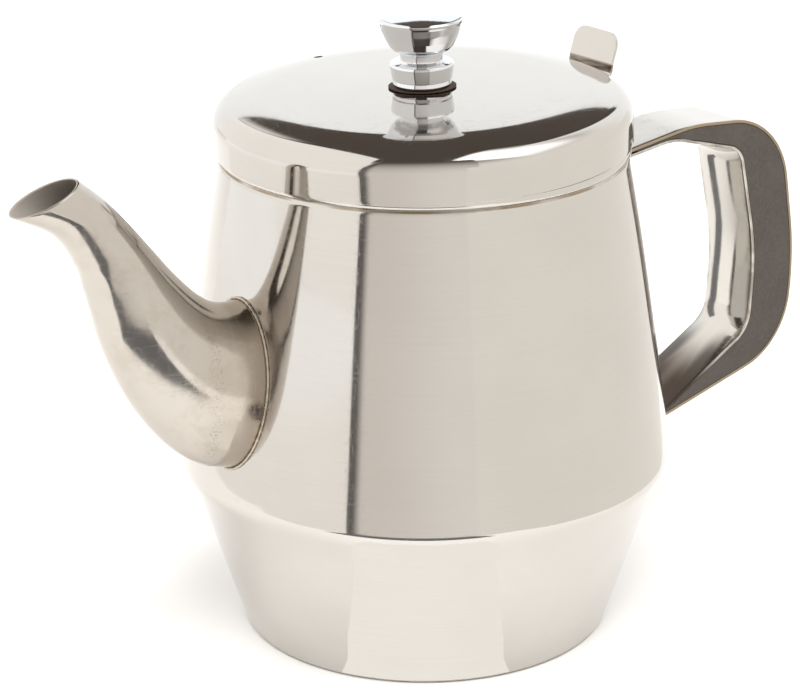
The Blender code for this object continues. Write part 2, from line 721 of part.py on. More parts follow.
def make_knob_screw(lid_axis):
    """Pan-head screw that comes up through the lid into the knob."""
    washer_low = LID_TOP - LID_WALL - FIT_GAP - WASHER_THICKNESS
    seat = washer_low - FIT_GAP
    low = seat - SCREW_HEAD_HEIGHT
    tip = LID_TOP + KNOB_SEAT + KNOB_SCREW_DEPTH - SCREW_TIP_GAP
    profile = [
        (0.0, low),
        (SCREW_HEAD_RADIUS - SCREW_HEAD_ROUND, low),
        (SCREW_HEAD_RADIUS, low + SCREW_HEAD_ROUND),
        (SCREW_HEAD_RADIUS, seat),
        (SCREW_RADIUS, seat),
        (SCREW_RADIUS, tip - SCREW_CHAMFER),
        (SCREW_RADIUS - SCREW_CHAMFER, tip),
        (0.0, tip),
    ]
    screw = turned("knob_screw", profile, BARE_STEEL, turn=SMALL_TURN, closed=False)
    place_on_lid(screw, lid_axis)
    make_ring("screw_washer", SCREW_HOLE_RADIUS, SCREW_WASHER_RADIUS, washer_low,
              washer_low + WASHER_THICKNESS, BARE_STEEL, lid_axis)
    return screw


def make_lid_axis():
    """Empty on the hinge axis that carries the lid's pieces at their resting tilt."""
    lid_axis = bpy.data.objects.new("lid_axis", None)
    bpy.context.collection.objects.link(lid_axis)
    lid_axis.location = (HINGE_X, 0, HINGE_Z)
    lid_axis.rotation_euler = (0, -LID_TILT, 0)
    return lid_axis


def main():
    """Build the whole teapot."""
    clear_scene()
    make_body()
    make_spout()
    make_spout_weld()
    make_handle()
    make_hinge_bracket()
    make_hinge_pin()
    lid_axis = make_lid_axis()
    make_lid(lid_axis)
    make_hinge_leaf(lid_axis)
    make_knob(lid_axis)
    make_ring("knob_washer", SCREW_HOLE_RADIUS, WASHER_RADIUS, LID_TOP + FIT_GAP,
              LID_TOP + FIT_GAP + WASHER_THICKNESS, FIBRE, lid_axis)
    make_knob_screw(lid_axis)
    bpy.context.view_layer.update()


main()
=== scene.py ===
"""Looks for the teapot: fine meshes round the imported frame, procedural materials, studio and camera."""
import json
import math

import bmesh
import bpy
from mathutils import Matrix, Vector


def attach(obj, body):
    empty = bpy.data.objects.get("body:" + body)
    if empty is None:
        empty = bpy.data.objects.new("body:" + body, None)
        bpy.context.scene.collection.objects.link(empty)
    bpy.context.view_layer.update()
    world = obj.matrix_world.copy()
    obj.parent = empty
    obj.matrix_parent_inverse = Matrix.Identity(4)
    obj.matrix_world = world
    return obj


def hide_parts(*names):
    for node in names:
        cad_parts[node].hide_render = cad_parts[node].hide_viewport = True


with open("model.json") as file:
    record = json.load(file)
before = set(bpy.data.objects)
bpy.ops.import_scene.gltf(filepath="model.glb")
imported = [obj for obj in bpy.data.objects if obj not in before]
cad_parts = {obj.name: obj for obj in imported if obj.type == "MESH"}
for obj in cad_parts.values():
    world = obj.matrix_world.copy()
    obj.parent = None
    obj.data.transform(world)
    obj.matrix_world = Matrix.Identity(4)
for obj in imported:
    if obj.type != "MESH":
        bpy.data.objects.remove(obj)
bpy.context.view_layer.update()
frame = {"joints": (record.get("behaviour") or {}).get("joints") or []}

MM = 0.001
FIT_GAP = 0.3 * MM
HINGE = Vector(frame["joints"][0]["pos_m"])
LID_TILT = math.radians(1.4)
SHELL_TURN = 256   # sides of a large turned piece
SMALL_TURN = 96    # sides of a small one
SHARP_ANGLE = 40.0   # edges bent more than this, in degrees, are shaded sharp
ON_AXIS = 1e-7   # a smaller radius is on the axis


# ---- mesh helpers

def finish_mesh(name, mesh_data, look, sharp=SHARP_ANGLE, matrix=None):
    """Smooth-shaded object from bmesh data, with one material."""
    bmesh.ops.recalc_face_normals(mesh_data, faces=mesh_data.faces[:])
    mesh = bpy.data.meshes.new(name)
    mesh_data.to_mesh(mesh)
    mesh_data.free()
    mesh.shade_smooth()
    mesh.set_sharp_from_angle(angle=math.radians(sharp))
    mesh.materials.append(look)
    item = bpy.data.objects.new(name, mesh)
    bpy.context.scene.collection.objects.link(item)
    if matrix is not None:
        item.matrix_world = matrix
    return item


def declare(item, body, slot, *nodes):
    """The piece rides on its body and stands for its CAD nodes, which are hidden. slot is not used."""
    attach(item, body)
    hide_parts(*nodes)


def spread(first, last, parts):
    """Evenly spaced numbers, both ends included."""
    return [first + (last - first) * step / parts for step in range(parts + 1)]


def arc(centre, radius, start, end, steps):
    """Points on a circular arc, angles in degrees, both ends included."""
    x, y = centre
    turns = [math.radians(angle) for angle in spread(start, end, steps)]
    return [Vector((x + radius * math.cos(turn), y + radius * math.sin(turn))) for turn in turns]


def rounded_path(corners, radii, steps):
    """A polyline through corner points whose inner corners are rounded by arcs."""
    path = [Vector(corners[0])]
    for before, corner, after, radius in zip(corners, corners[1:], corners[2:], radii):
        corner = Vector(corner)
        to_before = (Vector(before) - corner).normalized()
        to_after = (Vector(after) - corner).normalized()
        half_angle = to_before.angle(to_after) / 2
        bisector = (to_before + to_after).normalized()
        centre = corner + bisector * radius / math.sin(half_angle)
        tangent = radius / math.tan(half_angle)
        start = corner + to_before * tangent - centre
        end = corner + to_after * tangent - centre
        sweep = start.angle(end)
        for share in spread(0.0, 1.0, steps):
            swing = (start * math.sin((1 - share) * sweep) + end * math.sin(share * sweep)) / math.sin(sweep)
            path.append(centre + swing)
    path.append(Vector(corners[-1]))
    return path


def resample(path, spacing):
    """The path with extra points, so that no step is longer than spacing."""
    dense = [path[0]]
    for start, end in zip(path, path[1:]):
        parts = max(1, math.ceil((end - start).length / spacing))
        dense += [start.lerp(end, part / parts) for part in range(1, parts + 1)]
    return dense


def offset_path(path, distance):
    """The path moved to the left of its direction, with mitred corners."""
    moved = []
    for before, point, after in zip([path[0]] + path, path, path[1:] + [path[-1]]):
        arriving = (point - before).normalized() if point != before else (after - point).normalized()
        leaving = (after - point).normalized() if after != point else arriving
        direction = (arriving + leaving).normalized()
        normal = Vector((-direction.y, direction.x))
        moved.append(point + normal * distance / max(direction.dot(arriving), 0.5))
    return moved


def spline_point(points, position):
    """Catmull-Rom point at a position from 0 to len(points) - 1."""
    index = min(int(position), len(points) - 2)
    share = position - index
    here, there = points[index], points[index + 1]
    before = points[index - 1] if index > 0 else 2 * here - there
    after = points[index + 2] if index + 2 < len(points) else 2 * there - here
    return 0.5 * (
        2 * here
        + (there - before) * share
        + (2 * before - 5 * here + 4 * there - after) * share ** 2
        + (3 * here - before - 3 * there + after) * share ** 3
    )


def lathe(name, profile, look, turn=SHELL_TURN, matrix=None, sharp=SHARP_ANGLE):
    """Quads from an (r, z) profile turned round Z. Points on the axis become one vertex."""
    mesh_data = bmesh.new()
    rings = []
    angles = [math.tau * index / turn for index in range(turn)]
    for radius, height in profile:
        spots = [(radius * math.cos(angle), radius * math.sin(angle), height) for angle in angles]
        if radius < ON_AXIS:
            spots = [(0.0, 0.0, height)]
        rings.append([mesh_data.verts.new(spot) for spot in spots])
    pairs = list(zip(rings, rings[1:]))
    if profile[0][0] > ON_AXIS:
        pairs.append((rings[-1], rings[0]))
    for low, high in pairs:
        for index in range(turn):
            after = (index + 1) % turn
            corners = [low[index % len(low)], low[after % len(low)]]
            corners += [high[after % len(high)], high[index % len(high)]]
            corners = list(dict.fromkeys(corners))
            if len(corners) > 2:
                mesh_data.faces.new(corners)
    return finish_mesh(name, mesh_data, look, sharp, matrix)


def sweep(name, rings, look, closed=False, sharp=SHARP_ANGLE, matrix=None):
    """Skin over rings with the same number of points; open ends are capped."""
    mesh_data = bmesh.new()
    rows = [[mesh_data.verts.new(point) for point in ring] for ring in rings]
    pairs = list(zip(rows, rows[1:]))
    if closed:
        pairs.append((rows[-1], rows[0]))
    for row, following in pairs:
        count = len(row)
        for index in range(count):
            after = (index + 1) % count
            mesh_data.faces.new((row[index], row[after], following[after], following[index]))
    if not closed:
        mesh_data.faces.new(rows[0])
        mesh_data.faces.new(rows[-1])
    return finish_mesh(name, mesh_data, look, sharp, matrix)


def strip(name, path, thickness, width, look, edge, across=16, crown=None, rounding=0.0, matrix=None):
    """Sheet metal bent along an (x, z) path, centred on y = 0, with rounded edges.

    The path is one face and the other lies to the left. crown(share) lifts the middle of the sheet.
    rounding is the radius of the two corners at the path's end.
    """
    side, deep = width / 2 - edge, thickness - edge
    loop = [(0.0, (2 * step / across - 1) * side) for step in range(across + 1)]
    loop += arc((edge, side), edge, 180, 90, 4)[1:] + arc((deep, side), edge, 90, 0, 4)
    loop += [(thickness, (1 - 2 * step / across) * side) for step in range(1, across + 1)]
    loop += arc((deep, -side), edge, 0, -90, 4)[1:] + arc((edge, -side), edge, -90, -180, 4)[:-1]
    rings = []
    last = len(path) - 1
    remaining = [0.0]
    for after, before in zip(path[::-1], path[-2::-1]):
        remaining.append(remaining[-1] + (after - before).length)
    remaining.reverse()
    for index, point in enumerate(path):
        before = path[max(index - 1, 0)]
        after = path[min(index + 1, last)]
        direction = ((point - before).normalized() + (after - point).normalized()).normalized()
        normal = Vector((-direction.y, direction.x))
        bulge = crown(index / last) if crown else 0.0
        inset = max(rounding - remaining[index], 0.0)
        narrow = 1 - 2 * (rounding - math.sqrt(rounding * rounding - inset * inset)) / width
        ring = []
        for lift, y in loop:
            share = 2 * y / width
            spot = point + normal * (lift + bulge * (1 - share * share))
            ring.append((spot.x, y * narrow, spot.y))
        rings.append(ring)
    return sweep(name, rings, look, matrix=matrix)


def cylinder(name, radius, length, look, axis, centre, turn=64):
    """A plain cylinder along an axis, only used to cut or join."""
    mesh_data = bmesh.new()
    ends = {"radius1": radius, "radius2": radius}
    bmesh.ops.create_cone(mesh_data, cap_ends=True, segments=turn, depth=length, **ends)
    turned = {"X": Matrix.Rotation(math.pi / 2, 4, "Y"), "Y": Matrix.Rotation(math.pi / 2, 4, "X")}
    matrix = Matrix.Translation(centre) @ turned.get(axis, Matrix.Identity(4))
    bmesh.ops.transform(mesh_data, matrix=matrix, verts=mesh_data.verts[:])
    return finish_mesh(name, mesh_data, look)


def block(name, low, high, look):
    """A box between two corners, only used to cut."""
    mesh_data = bmesh.new()
    bmesh.ops.create_cube(mesh_data, size=1.0)
    middle = (Vector(low) + Vector(high)) / 2
    size = Vector(high) - Vector(low)
    for vert in mesh_data.verts:
        vert.co = Vector((vert.co.x * size.x, vert.co.y * size.y, vert.co.z * size.z)) + middle
    return finish_mesh(name, mesh_data, look)


def combine(target, tool, operation):
    """Apply a Boolean with a helper object in the target's own coordinates, then remove the helper."""
    tool.matrix_world = target.matrix_world @ tool.matrix_world
    modifier = target.modifiers.new("Boolean", "BOOLEAN")
    modifier.operation = operation
    modifier.solver = "EXACT"
    modifier.object = tool
    bpy.context.view_layer.update()
    evaluated = target.evaluated_get(bpy.context.evaluated_depsgraph_get())
    mesh = bpy.data.meshes.new_from_object(evaluated)
    target.modifiers.clear()
    target.data = mesh
    mesh.shade_smooth()
    mesh.set_sharp_from_angle(angle=math.radians(SHARP_ANGLE))
    bpy.data.objects.remove(tool, do_unlink=True)


# ---- node helpers

class Nodes:
    """Short ways to add nodes to a tree and link them."""

    def __init__(self, tree):
        self.tree = tree
        self.coords = None

    def add(self, kind, *values, **settings):
        """A new node. The values go into its first inputs, in order."""
        node = self.tree.nodes.new(kind)
        for key, value in settings.items():
            setattr(node, key, value)
        for socket, value in zip(node.inputs, values):
            self.put(socket, value)
        return node

    def put(self, socket, value):
        """Link a socket, or set a plain number, vector or colour."""
        if isinstance(value, bpy.types.NodeSocket):
            self.tree.links.new(value, socket)
        elif isinstance(value, (tuple, list)) and len(socket.default_value) == 4:
            socket.default_value = (*value[:3], 1.0)
        else:
            socket.default_value = value

    def math(self, operation, first, second=0.0):
        return self.add("ShaderNodeMath", first, second, operation=operation).outputs[0]

    def mul(self, first, second):
        return self.math("MULTIPLY", first, second)

    def sum(self, first, second):
        return self.math("ADD", first, second)

    def ramp(self, value, low, high, to_low=0.0, to_high=1.0):
        """Smooth step of a value from low to high."""
        numbers = (value, low, high, to_low, to_high)
        return self.add("ShaderNodeMapRange", *numbers, interpolation_type="SMOOTHSTEP").outputs[0]

    def mix(self, factor, first, second):
        """Mix of two colours."""
        node = self.add("ShaderNodeMix", data_type="RGBA")
        self.put(node.inputs[0], factor)
        self.put(node.inputs[6], first)
        self.put(node.inputs[7], second)
        return node.outputs[2]

    def position(self):
        """Object coordinates in millimetres."""
        if self.coords is None:
            source = self.add("ShaderNodeTexCoord").outputs["Object"]
            node = self.add("ShaderNodeVectorMath", source, operation="SCALE")
            node.inputs["Scale"].default_value = 1 / MM
            self.coords = node.outputs[0]
        return self.coords

    def split(self, vector):
        """The x, y and z of a vector."""
        return self.add("ShaderNodeSeparateXYZ", vector).outputs

    def join(self, x, y, z):
        return self.add("ShaderNodeCombineXYZ", x, y, z).outputs[0]

    def stretch(self, vector, scale):
        return self.add("ShaderNodeVectorMath", vector, scale, operation="MULTIPLY").outputs[0]

    def noise(self, vector, scale, detail=3.0, roughness=0.5):
        node = self.add("ShaderNodeTexNoise", vector)
        for key, value in (("Scale", scale), ("Detail", detail), ("Roughness", roughness)):
            node.inputs[key].default_value = value
        return node.outputs[0]

    def bump(self, height, distance, strength=1.0, normal=None):
        node = self.add("ShaderNodeBump")
        self.put(node.inputs["Height"], height)
        self.put(node.inputs["Distance"], distance)
        self.put(node.inputs["Strength"], strength)
        if normal is not None:
            self.put(node.inputs["Normal"], normal)
        return node.outputs[0]


def new_material(name):
    """An empty Principled material with the node helper."""
    look = bpy.data.materials.new(name)
    look.use_nodes = True
    nodes = Nodes(look.node_tree)
    return look, nodes, look.node_tree.nodes["Principled BSDF"]


def scratches(nodes, vector, scale, seed, width=0.012):
    """Sparse fine lines where a noise field crosses its middle value: 1 on a scratch, else 0."""
    moved = nodes.add("ShaderNodeVectorMath", vector, (seed, seed * 1.7, seed * 0.6), operation="ADD")
    field = nodes.noise(moved.outputs[0], scale, 2.0, 0.6)
    distance = nodes.math("ABSOLUTE", nodes.math("SUBTRACT", field, 0.5))
    return nodes.ramp(distance, width, 0.0)


def steel(name, colour, roughness, grain, smudge, dents=0.0, scratch=0.3, tint=None, relief=0.004):
    """Polished stainless steel with drawing grain, smudges, shallow waves and fine scratches.

    grain is the scale of the drawing marks along x, y and z, smudge the spread of the roughness,
    dents and relief the depth of the waves and of the grain in millimetres. tint(nodes, colour) gives
    the final colour, what it adds to the roughness and how metallic the surface is.
    """
    look, nodes, shader = new_material(name)
    spot = nodes.position()
    drawn = nodes.noise(nodes.stretch(spot, grain), 1.0, 4.0, 0.6)
    cloud = nodes.noise(spot, 0.035, 3.0, 0.55)
    fine = nodes.noise(spot, 0.9, 3.0, 0.6)
    upright = scratches(nodes, nodes.stretch(spot, (0.9, 0.9, 0.05)), 0.6, 3.1)
    level = scratches(nodes, nodes.stretch(spot, (0.12, 0.2, 1.1)), 0.5, 11.3)
    marks = nodes.math("MAXIMUM", upright, level)
    shade = nodes.mix(nodes.ramp(cloud, 0.3, 0.7), [part * 0.97 for part in colour], colour)
    shade = nodes.mix(nodes.mul(nodes.ramp(drawn, 0.35, 0.75), 0.12), shade, [part * 0.86 for part in colour])
    duller, metallic = 0.0, 1.0
    if tint is not None:
        shade, duller, metallic = tint(nodes, shade)
    nodes.put(shader.inputs["Base Color"], shade)
    rough = nodes.sum(roughness - smudge / 2, nodes.mul(nodes.ramp(cloud, 0.35, 0.7), smudge))
    rough = nodes.sum(rough, nodes.mul(drawn, 0.05))
    rough = nodes.sum(nodes.sum(rough, duller), nodes.mul(marks, scratch * 0.25))
    nodes.put(shader.inputs["Roughness"], rough)
    nodes.put(shader.inputs["Metallic"], metallic)
    height = nodes.sum(nodes.mul(drawn, 0.35), nodes.mul(fine, 0.15))
    height = nodes.sum(height, nodes.mul(marks, -0.3 * scratch))
    normal = nodes.bump(height, relief * MM)
    if dents:
        normal = nodes.bump(nodes.noise(spot, 0.11, 2.0), dents * MM, 1.0, normal)
    nodes.put(shader.inputs["Normal"], normal)
    return look


def spout_tint(nodes, shade):
    """Heat colours that fade away from the weld, stains, filing marks and a dull brownish inside."""
    spot = nodes.position()
    x = nodes.split(spot)[0]
    away = nodes.sum(nodes.mul(x, -1.0), nodes.mul(nodes.noise(spot, 0.08), 8.0))
    shade = nodes.mix(nodes.mul(nodes.ramp(away, 100.0, 84.0), 0.75), shade, (0.47, 0.42, 0.365))
    shade = nodes.mix(nodes.mul(nodes.ramp(away, 82.0, 76.5), 0.40), shade, (0.32, 0.24, 0.17))
    stain = nodes.ramp(nodes.noise(spot, 0.10, 5.0, 0.65), 0.46, 0.66)
    shade = nodes.mix(nodes.mul(stain, 0.30), shade, (0.40, 0.335, 0.27))
    band = nodes.mul(nodes.ramp(away, 91.5, 89.5), nodes.ramp(away, 86.0, 88.0))
    hatch = nodes.mul(band, scratches(nodes, nodes.stretch(spot, (1.4, 1.0, 0.8)), 0.8, 5.7, 0.03))
    shade = nodes.mix(nodes.mul(hatch, 0.6), shade, (0.20, 0.17, 0.14))
    inside = nodes.add("ShaderNodeAttribute", attribute_name="inside").outputs["Fac"]
    coating = nodes.mix(nodes.noise(spot, 0.3, 4.0), (0.34, 0.31, 0.28), (0.27, 0.24, 0.21))
    duller = nodes.sum(nodes.mul(inside, 0.45), nodes.mul(nodes.sum(stain, hatch), 0.05))
    return nodes.mix(inside, shade, coating), duller, nodes.sum(1.0, nodes.mul(inside, -0.75))


def body_tint(nodes, shade):
    """A thin brown line of painted shadow in the groove under the rim, where the rim meets the wall."""
    z = nodes.split(nodes.position())[2]
    # Painted shadow line in the crease between the rolled rim and the wall
    rim_shadow_line = nodes.mul(nodes.ramp(z, 146.75, 147.0), nodes.ramp(z, 147.5, 147.3))
    rim_shadow_line = nodes.mul(rim_shadow_line, nodes.ramp(nodes.noise(nodes.position(), 0.05), 0.35, 0.6))
    return nodes.mix(rim_shadow_line, shade, (0.27, 0.20, 0.13)), nodes.mul(rim_shadow_line, 0.2), 1.0


def grip_tint(nodes, shade):
    """Brown painted shade on the lower arm, darker towards the body and the sides, and a faint darkening
    along both edges.
    """
    x, y, z = nodes.split(nodes.position())
    across = nodes.math("ABSOLUTE", y)
    lower_arm = nodes.ramp(z, 70.0, 58.0)
    patch = nodes.ramp(nodes.noise(nodes.position(), 0.15, 4.0), 0.35, 0.65)
    # Painted shade on the lower arm, deepening towards the body
    low = nodes.mul(nodes.ramp(x, 124.0, 98.0), lower_arm)
    rim = nodes.mul(nodes.ramp(across, 8.2, 9.8), nodes.mul(patch, 0.5))
    # Mask that darkens and roughens: painted shade on the lower arm, and a faint darkening along both edges
    arm_shade_and_edges = nodes.math("MAXIMUM", nodes.mul(low, 0.9), rim)
    # Painted shade, near black, along the sides and at the foot of the lower arm next to the body
    side = nodes.mul(nodes.ramp(across, 1.5, 6.5), nodes.ramp(across, 10.3, 9.9))
    side = nodes.mul(side, nodes.ramp(x, 126.0, 114.0))
    foot = nodes.mul(nodes.ramp(x, 117.0, 100.0), nodes.ramp(across, 0.0, 4.0, 0.6, 1.0))
    foot = nodes.mul(nodes.math("MAXIMUM", foot, side), lower_arm)
    shade = nodes.mix(arm_shade_and_edges, shade, (0.14, 0.105, 0.08))
    return nodes.mix(nodes.mul(foot, 0.8), shade, (0.035, 0.025, 0.02)), nodes.mul(arm_shade_and_edges, 0.12), 1.0


def leaf_tint(nodes, shade):
    """A brown band of heat colour below the bend of the thumb tab."""
    z = nodes.split(nodes.position())[2]
    streak = nodes.noise(nodes.stretch(nodes.position(), (1.0, 0.15, 1.0)), 0.9)
    band = nodes.mul(nodes.ramp(z, 12.6, 13.4), nodes.ramp(z, 15.5, 15.0))
    band = nodes.mul(band, nodes.ramp(streak, 0.35, 0.6, 0.35, 0.85))
    return nodes.mix(band, shade, (0.16, 0.115, 0.075)), nodes.mul(band, 0.08), 1.0


def strap_tint(nodes, shade):
    """The bare cut edges are tan and rougher."""
    y = nodes.split(nodes.position())[1]
    edge = nodes.ramp(nodes.math("ABSOLUTE", y), 10.2, 10.4)
    return nodes.mix(edge, shade, (0.33, 0.265, 0.18)), nodes.mul(edge, 0.25), 1.0


STEEL = (0.570, 0.545, 0.512)
HINGE_STEEL = (0.57, 0.545, 0.51)
SPOUT_STEEL = (0.51, 0.475, 0.43)
body_look = steel("body_steel", STEEL, 0.045, (0.03, 0.03, 1.4), 0.03, 0.006, 0.3, body_tint)
lid_look = steel("lid_steel", STEEL, 0.035, (0.03, 0.03, 1.2), 0.03, 0.004)
spout_look = steel("spout_steel", SPOUT_STEEL, 0.10, (0.5, 0.7, 0.5), 0.06, 0.02, 0.45, spout_tint, 0.010)
weld_look = steel("weld_bead", (0.44, 0.39, 0.32), 0.20, (0.6, 0.9, 0.6), 0.15, 0.02, 0.6)
strap_look = steel("strap_steel", (0.63, 0.60, 0.56), 0.12, (0.05, 1.2, 0.05), 0.05, 0.006, 0.3, strap_tint)
grip_look = steel("grip_steel", (0.60, 0.575, 0.535), 0.07, (0.05, 0.8, 0.05), 0.03, 0.012, 0.3, grip_tint)
hinge_look = steel("hinge_steel", HINGE_STEEL, 0.10, (0.4, 0.4, 0.4), 0.05, 0.004)
leaf_look = steel("leaf_steel", HINGE_STEEL, 0.10, (0.4, 0.4, 0.4), 0.05, 0.004, 0.3, leaf_tint)
pin_look = steel("pin_steel", (0.50, 0.48, 0.45), 0.25, (0.8, 0.8, 0.8), 0.1)
screw_look = steel("screw_steel", (0.52, 0.50, 0.47), 0.2, (0.8, 0.8, 0.8), 0.1)
knob_look = steel("knob_chrome", (0.70, 0.71, 0.73), 0.015, (0.02, 0.02, 0.8), 0.01, 0.0, 0.12)


def filler_material():
    """Dull dark filler with fine mottling, pits and pale dust."""
    look, nodes, shader = new_material("core_filler")
    spot = nodes.position()
    mottle = nodes.noise(spot, 1.1, 5.0, 0.65)
    cloud = nodes.noise(spot, 0.08)
    speck = nodes.ramp(nodes.noise(spot, 2.4, 2.0), 0.72, 0.78)
    shade = nodes.mix(nodes.ramp(mottle, 0.35, 0.68), (0.044, 0.035, 0.029), (0.068, 0.054, 0.045))
    shade = nodes.mix(nodes.mul(nodes.ramp(cloud, 0.35, 0.7), 0.35), shade, (0.074, 0.060, 0.050))
    shade = nodes.mix(nodes.mul(speck, 0.35), shade, (0.30, 0.27, 0.24))
    nodes.put(shader.inputs["Base Color"], shade)
    nodes.put(shader.inputs["Roughness"], nodes.sum(0.5, nodes.mul(mottle, 0.2)))
    height = nodes.sum(mottle, nodes.mul(cloud, 0.6))
    nodes.put(shader.inputs["Normal"], nodes.bump(height, 0.05 * MM, 0.6))
    return look


def washer_material():
    """Dark brown pressed fibre."""
    look, nodes, shader = new_material("washer_fibre")
    spot = nodes.position()
    fibre = nodes.noise(nodes.stretch(spot, (1.0, 1.0, 6.0)), 1.6, 5.0, 0.7)
    shade = nodes.mix(nodes.ramp(fibre, 0.3, 0.7), (0.016, 0.009, 0.006), (0.060, 0.032, 0.018))
    nodes.put(shader.inputs["Base Color"], shade)
    nodes.put(shader.inputs["Roughness"], nodes.sum(0.55, nodes.mul(fibre, 0.3)))
    nodes.put(shader.inputs["Normal"], nodes.bump(fibre, 0.08 * MM, 0.7))
    return look


core_look = filler_material()
washer_look = washer_material()


# ---- body

BODY_WALL = 0.8   # thickness in millimetres
BASE_CORNERS = [(0.0, 0.45), (47.0, 0.45), (48.0, 0.0), (56.4, 0.0), (57.0, 2.4)]
BASE_RADII = [0.6, 0.6, 1.9]
BEAD_CENTRE = (59.55, 149.2)
BEAD_RADIUS = 1.9
STRAINER_X = -70.4
STRAINER_Z = 88.0
STRAINER_RING = 8.5   # radius of the ring of six holes round the middle one
STRAINER_HOLE = 3.0   # radius
WALL_POINTS = [   # (radius, height) of the wall's outside, in millimetres
    (57.0, 2.4), (61.1, 14.7), (64.8, 26.5), (68.1, 36.8), (70.8, 44.2),
    (72.3, 47.6), (73.6, 50.3), (74.7, 52.8), (75.0, 54.5), (74.75, 57.0),
    (74.3, 60.3), (73.6, 65.0), (70.4, 88.3), (66.0, 117.8), (60.9, 146.8),
]


def monotone_curve(points):
    """Function height -> radius, a smooth curve through the points that doesn't overshoot."""
    heights = [z for _, z in points]
    radii = [r for r, _ in points]
    slopes = [(r2 - r1) / (z2 - z1) for r1, r2, z1, z2 in zip(radii, radii[1:], heights, heights[1:])]
    tangents = [slopes[0]]
    steps = [above - below for below, above in zip(heights, heights[1:])]
    for low, high, step_low, step_high in zip(slopes, slopes[1:], steps, steps[1:]):
        if low * high <= 0:
            tangents.append(0.0)
            continue
        weight_low, weight_high = 2 * step_high + step_low, step_high + 2 * step_low
        tangents.append((weight_low + weight_high) / (weight_low / low + weight_high / high))
    tangents.append(slopes[-1])

    def value(height):
        index = 0
        while index < len(heights) - 2 and height > heights[index + 1]:
            index += 1
        step = heights[index + 1] - heights[index]
        t = (height - heights[index]) / step
        return (
            (1 + 2 * t) * (1 - t) ** 2 * radii[index]
            + t * (1 - t) ** 2 * step * tangents[index]
            + t * t * (3 - 2 * t) * radii[index + 1]
            + t * t * (t - 1) * step * tangents[index + 1]
        )

    return value


wall_radius_mm = monotone_curve(WALL_POINTS)


def body_radius(height):
    """Outer radius of the wall at a height, in metres."""
    return wall_radius_mm(height / MM) * MM


def make_body():
    """The cup: stamped base, drawn wall, rolled rim and strainer holes."""
    base = rounded_path(BASE_CORNERS, BASE_RADII, 8)
    outer = base[:-1] + [Vector((wall_radius_mm(z), z)) for z in spread(2.6, 146.8, 150)]
    bead = arc(BEAD_CENTRE, BEAD_RADIUS, -65, 200, 24)
    inner = []
    probe = 0.1
    for z in spread(4.4, 146.2, 60):
        slope = wall_radius_mm(z + probe) - wall_radius_mm(z - probe)
        normal = Vector((2 * probe, -slope)).normalized()
        inner.append(Vector((wall_radius_mm(z), z)) - normal * BODY_WALL)
    floor = arc((53.5, 3.4), 3.0, -18, -90, 6)
    profile = [(r * MM, z * MM) for r, z in outer + bead + inner[::-1] + floor]
    profile = [(0.0, 0.45 * MM)] + profile[1:] + [(0.0, 1.0 * MM)]
    body = lathe("body", profile, body_look)
    centres = [(0.0, STRAINER_Z)]
    for index in range(6):
        angle = math.radians(60 * index + 30)
        centres.append((STRAINER_RING * math.cos(angle), STRAINER_Z + STRAINER_RING * math.sin(angle)))
    for y, z in centres:
        spot = (STRAINER_X * MM, y * MM, z * MM)
        combine(body, cylinder("drill", STRAINER_HOLE * MM, 24 * MM, body_look, "X", spot, 32), "DIFFERENCE")
    declare(body, "pot", "body_steel", "body_shell")


# ---- spout

SPOUT_SECTIONS = [   # upper edge, lower edge and half width of each section, in millimetres
    ((70.6, 115.2), (83.0, 68.8), 14.8),
    ((75.0, 116.2), (92.0, 75.5), 14.3),
    ((79.2, 118.4), (101.0, 86.5), 13.3),
    ((84.2, 122.6), (108.0, 99.0), 12.4),
    ((90.5, 129.4), (112.7, 111.0), 11.7),
    ((97.5, 138.0), (116.0, 124.0), 10.8),
    ((104.5, 146.7), (119.6, 136.0), 9.6),
    ((111.5, 154.6), (127.0, 146.6), 8.3),
    ((118.8, 161.0), (139.3, 154.0), 7.2),
]
SPOUT_WALL = 0.8 * MM
SPOUT_BASE = Vector((14.8, 24.9)) * MM   # half width and half height of the oval on the body
SPOUT_BASE_Z = 90.3 * MM
WELD_RADIUS = 0.40 * MM
WELD_OUTSIDE = 0.34 * MM   # how far the bead's middle lies outside the spout's base
WELD_LIFT = 0.10 * MM


def spout_line(angle, inset):
    """Points along the spout at one angle round it, from the body to the mouth."""
    y = (SPOUT_BASE.x - inset) * math.sin(angle)
    z = SPOUT_BASE_Z + (SPOUT_BASE.y - inset) * math.cos(angle)
    reach = body_radius(z) + FIT_GAP
    line = [Vector((-math.sqrt(reach ** 2 - y ** 2), y, z))]
    for upper, lower, half_width in SPOUT_SECTIONS:
        upper, lower = Vector(upper) * MM, Vector(lower) * MM
        half_depth = (upper - lower) / 2
        point = (upper + lower) / 2 + half_depth * (1 - inset / half_depth.length) * math.cos(angle)
        line.append(Vector((-point.x, (half_width * MM - inset) * math.sin(angle), point.y)))
    return line


def make_spout():
    """The gooseneck with a rounded lip at its mouth."""
    around, along = 96, 150
    columns = []
    for index in range(around):
        angle = math.tau * index / around
        outside, inside = spout_line(angle, 0.0), spout_line(angle, SPOUT_WALL)
        steps = [(len(outside) - 1) * step / along for step in range(along + 1)]
        column = [spline_point(outside, position) for position in steps]
        end, inner_end = outside[-1], inside[-1]
        ahead = (spline_point(outside, steps[-1]) - spline_point(outside, steps[-2])).normalized()
        middle = (end + inner_end) / 2
        for swing in range(30, 180, 30):
            turn = math.radians(swing)
            column.append(middle + (end - middle) * math.cos(turn) + ahead * SPOUT_WALL / 2 * math.sin(turn))
        column += [spline_point(inside, position) for position in reversed(steps)]
        columns.append(column)
    rings = [list(ring) for ring in zip(*columns)]
    spout = sweep("spout_tube", rings, spout_look, closed=True)
    inside = spout.data.attributes.new("inside", "FLOAT", "POINT")
    middle_of_lip = (along + 3) * around
    for index, value in enumerate(inside.data):
        value.value = float(index >= middle_of_lip)
    declare(spout, "pot", "spout_steel", "spout")


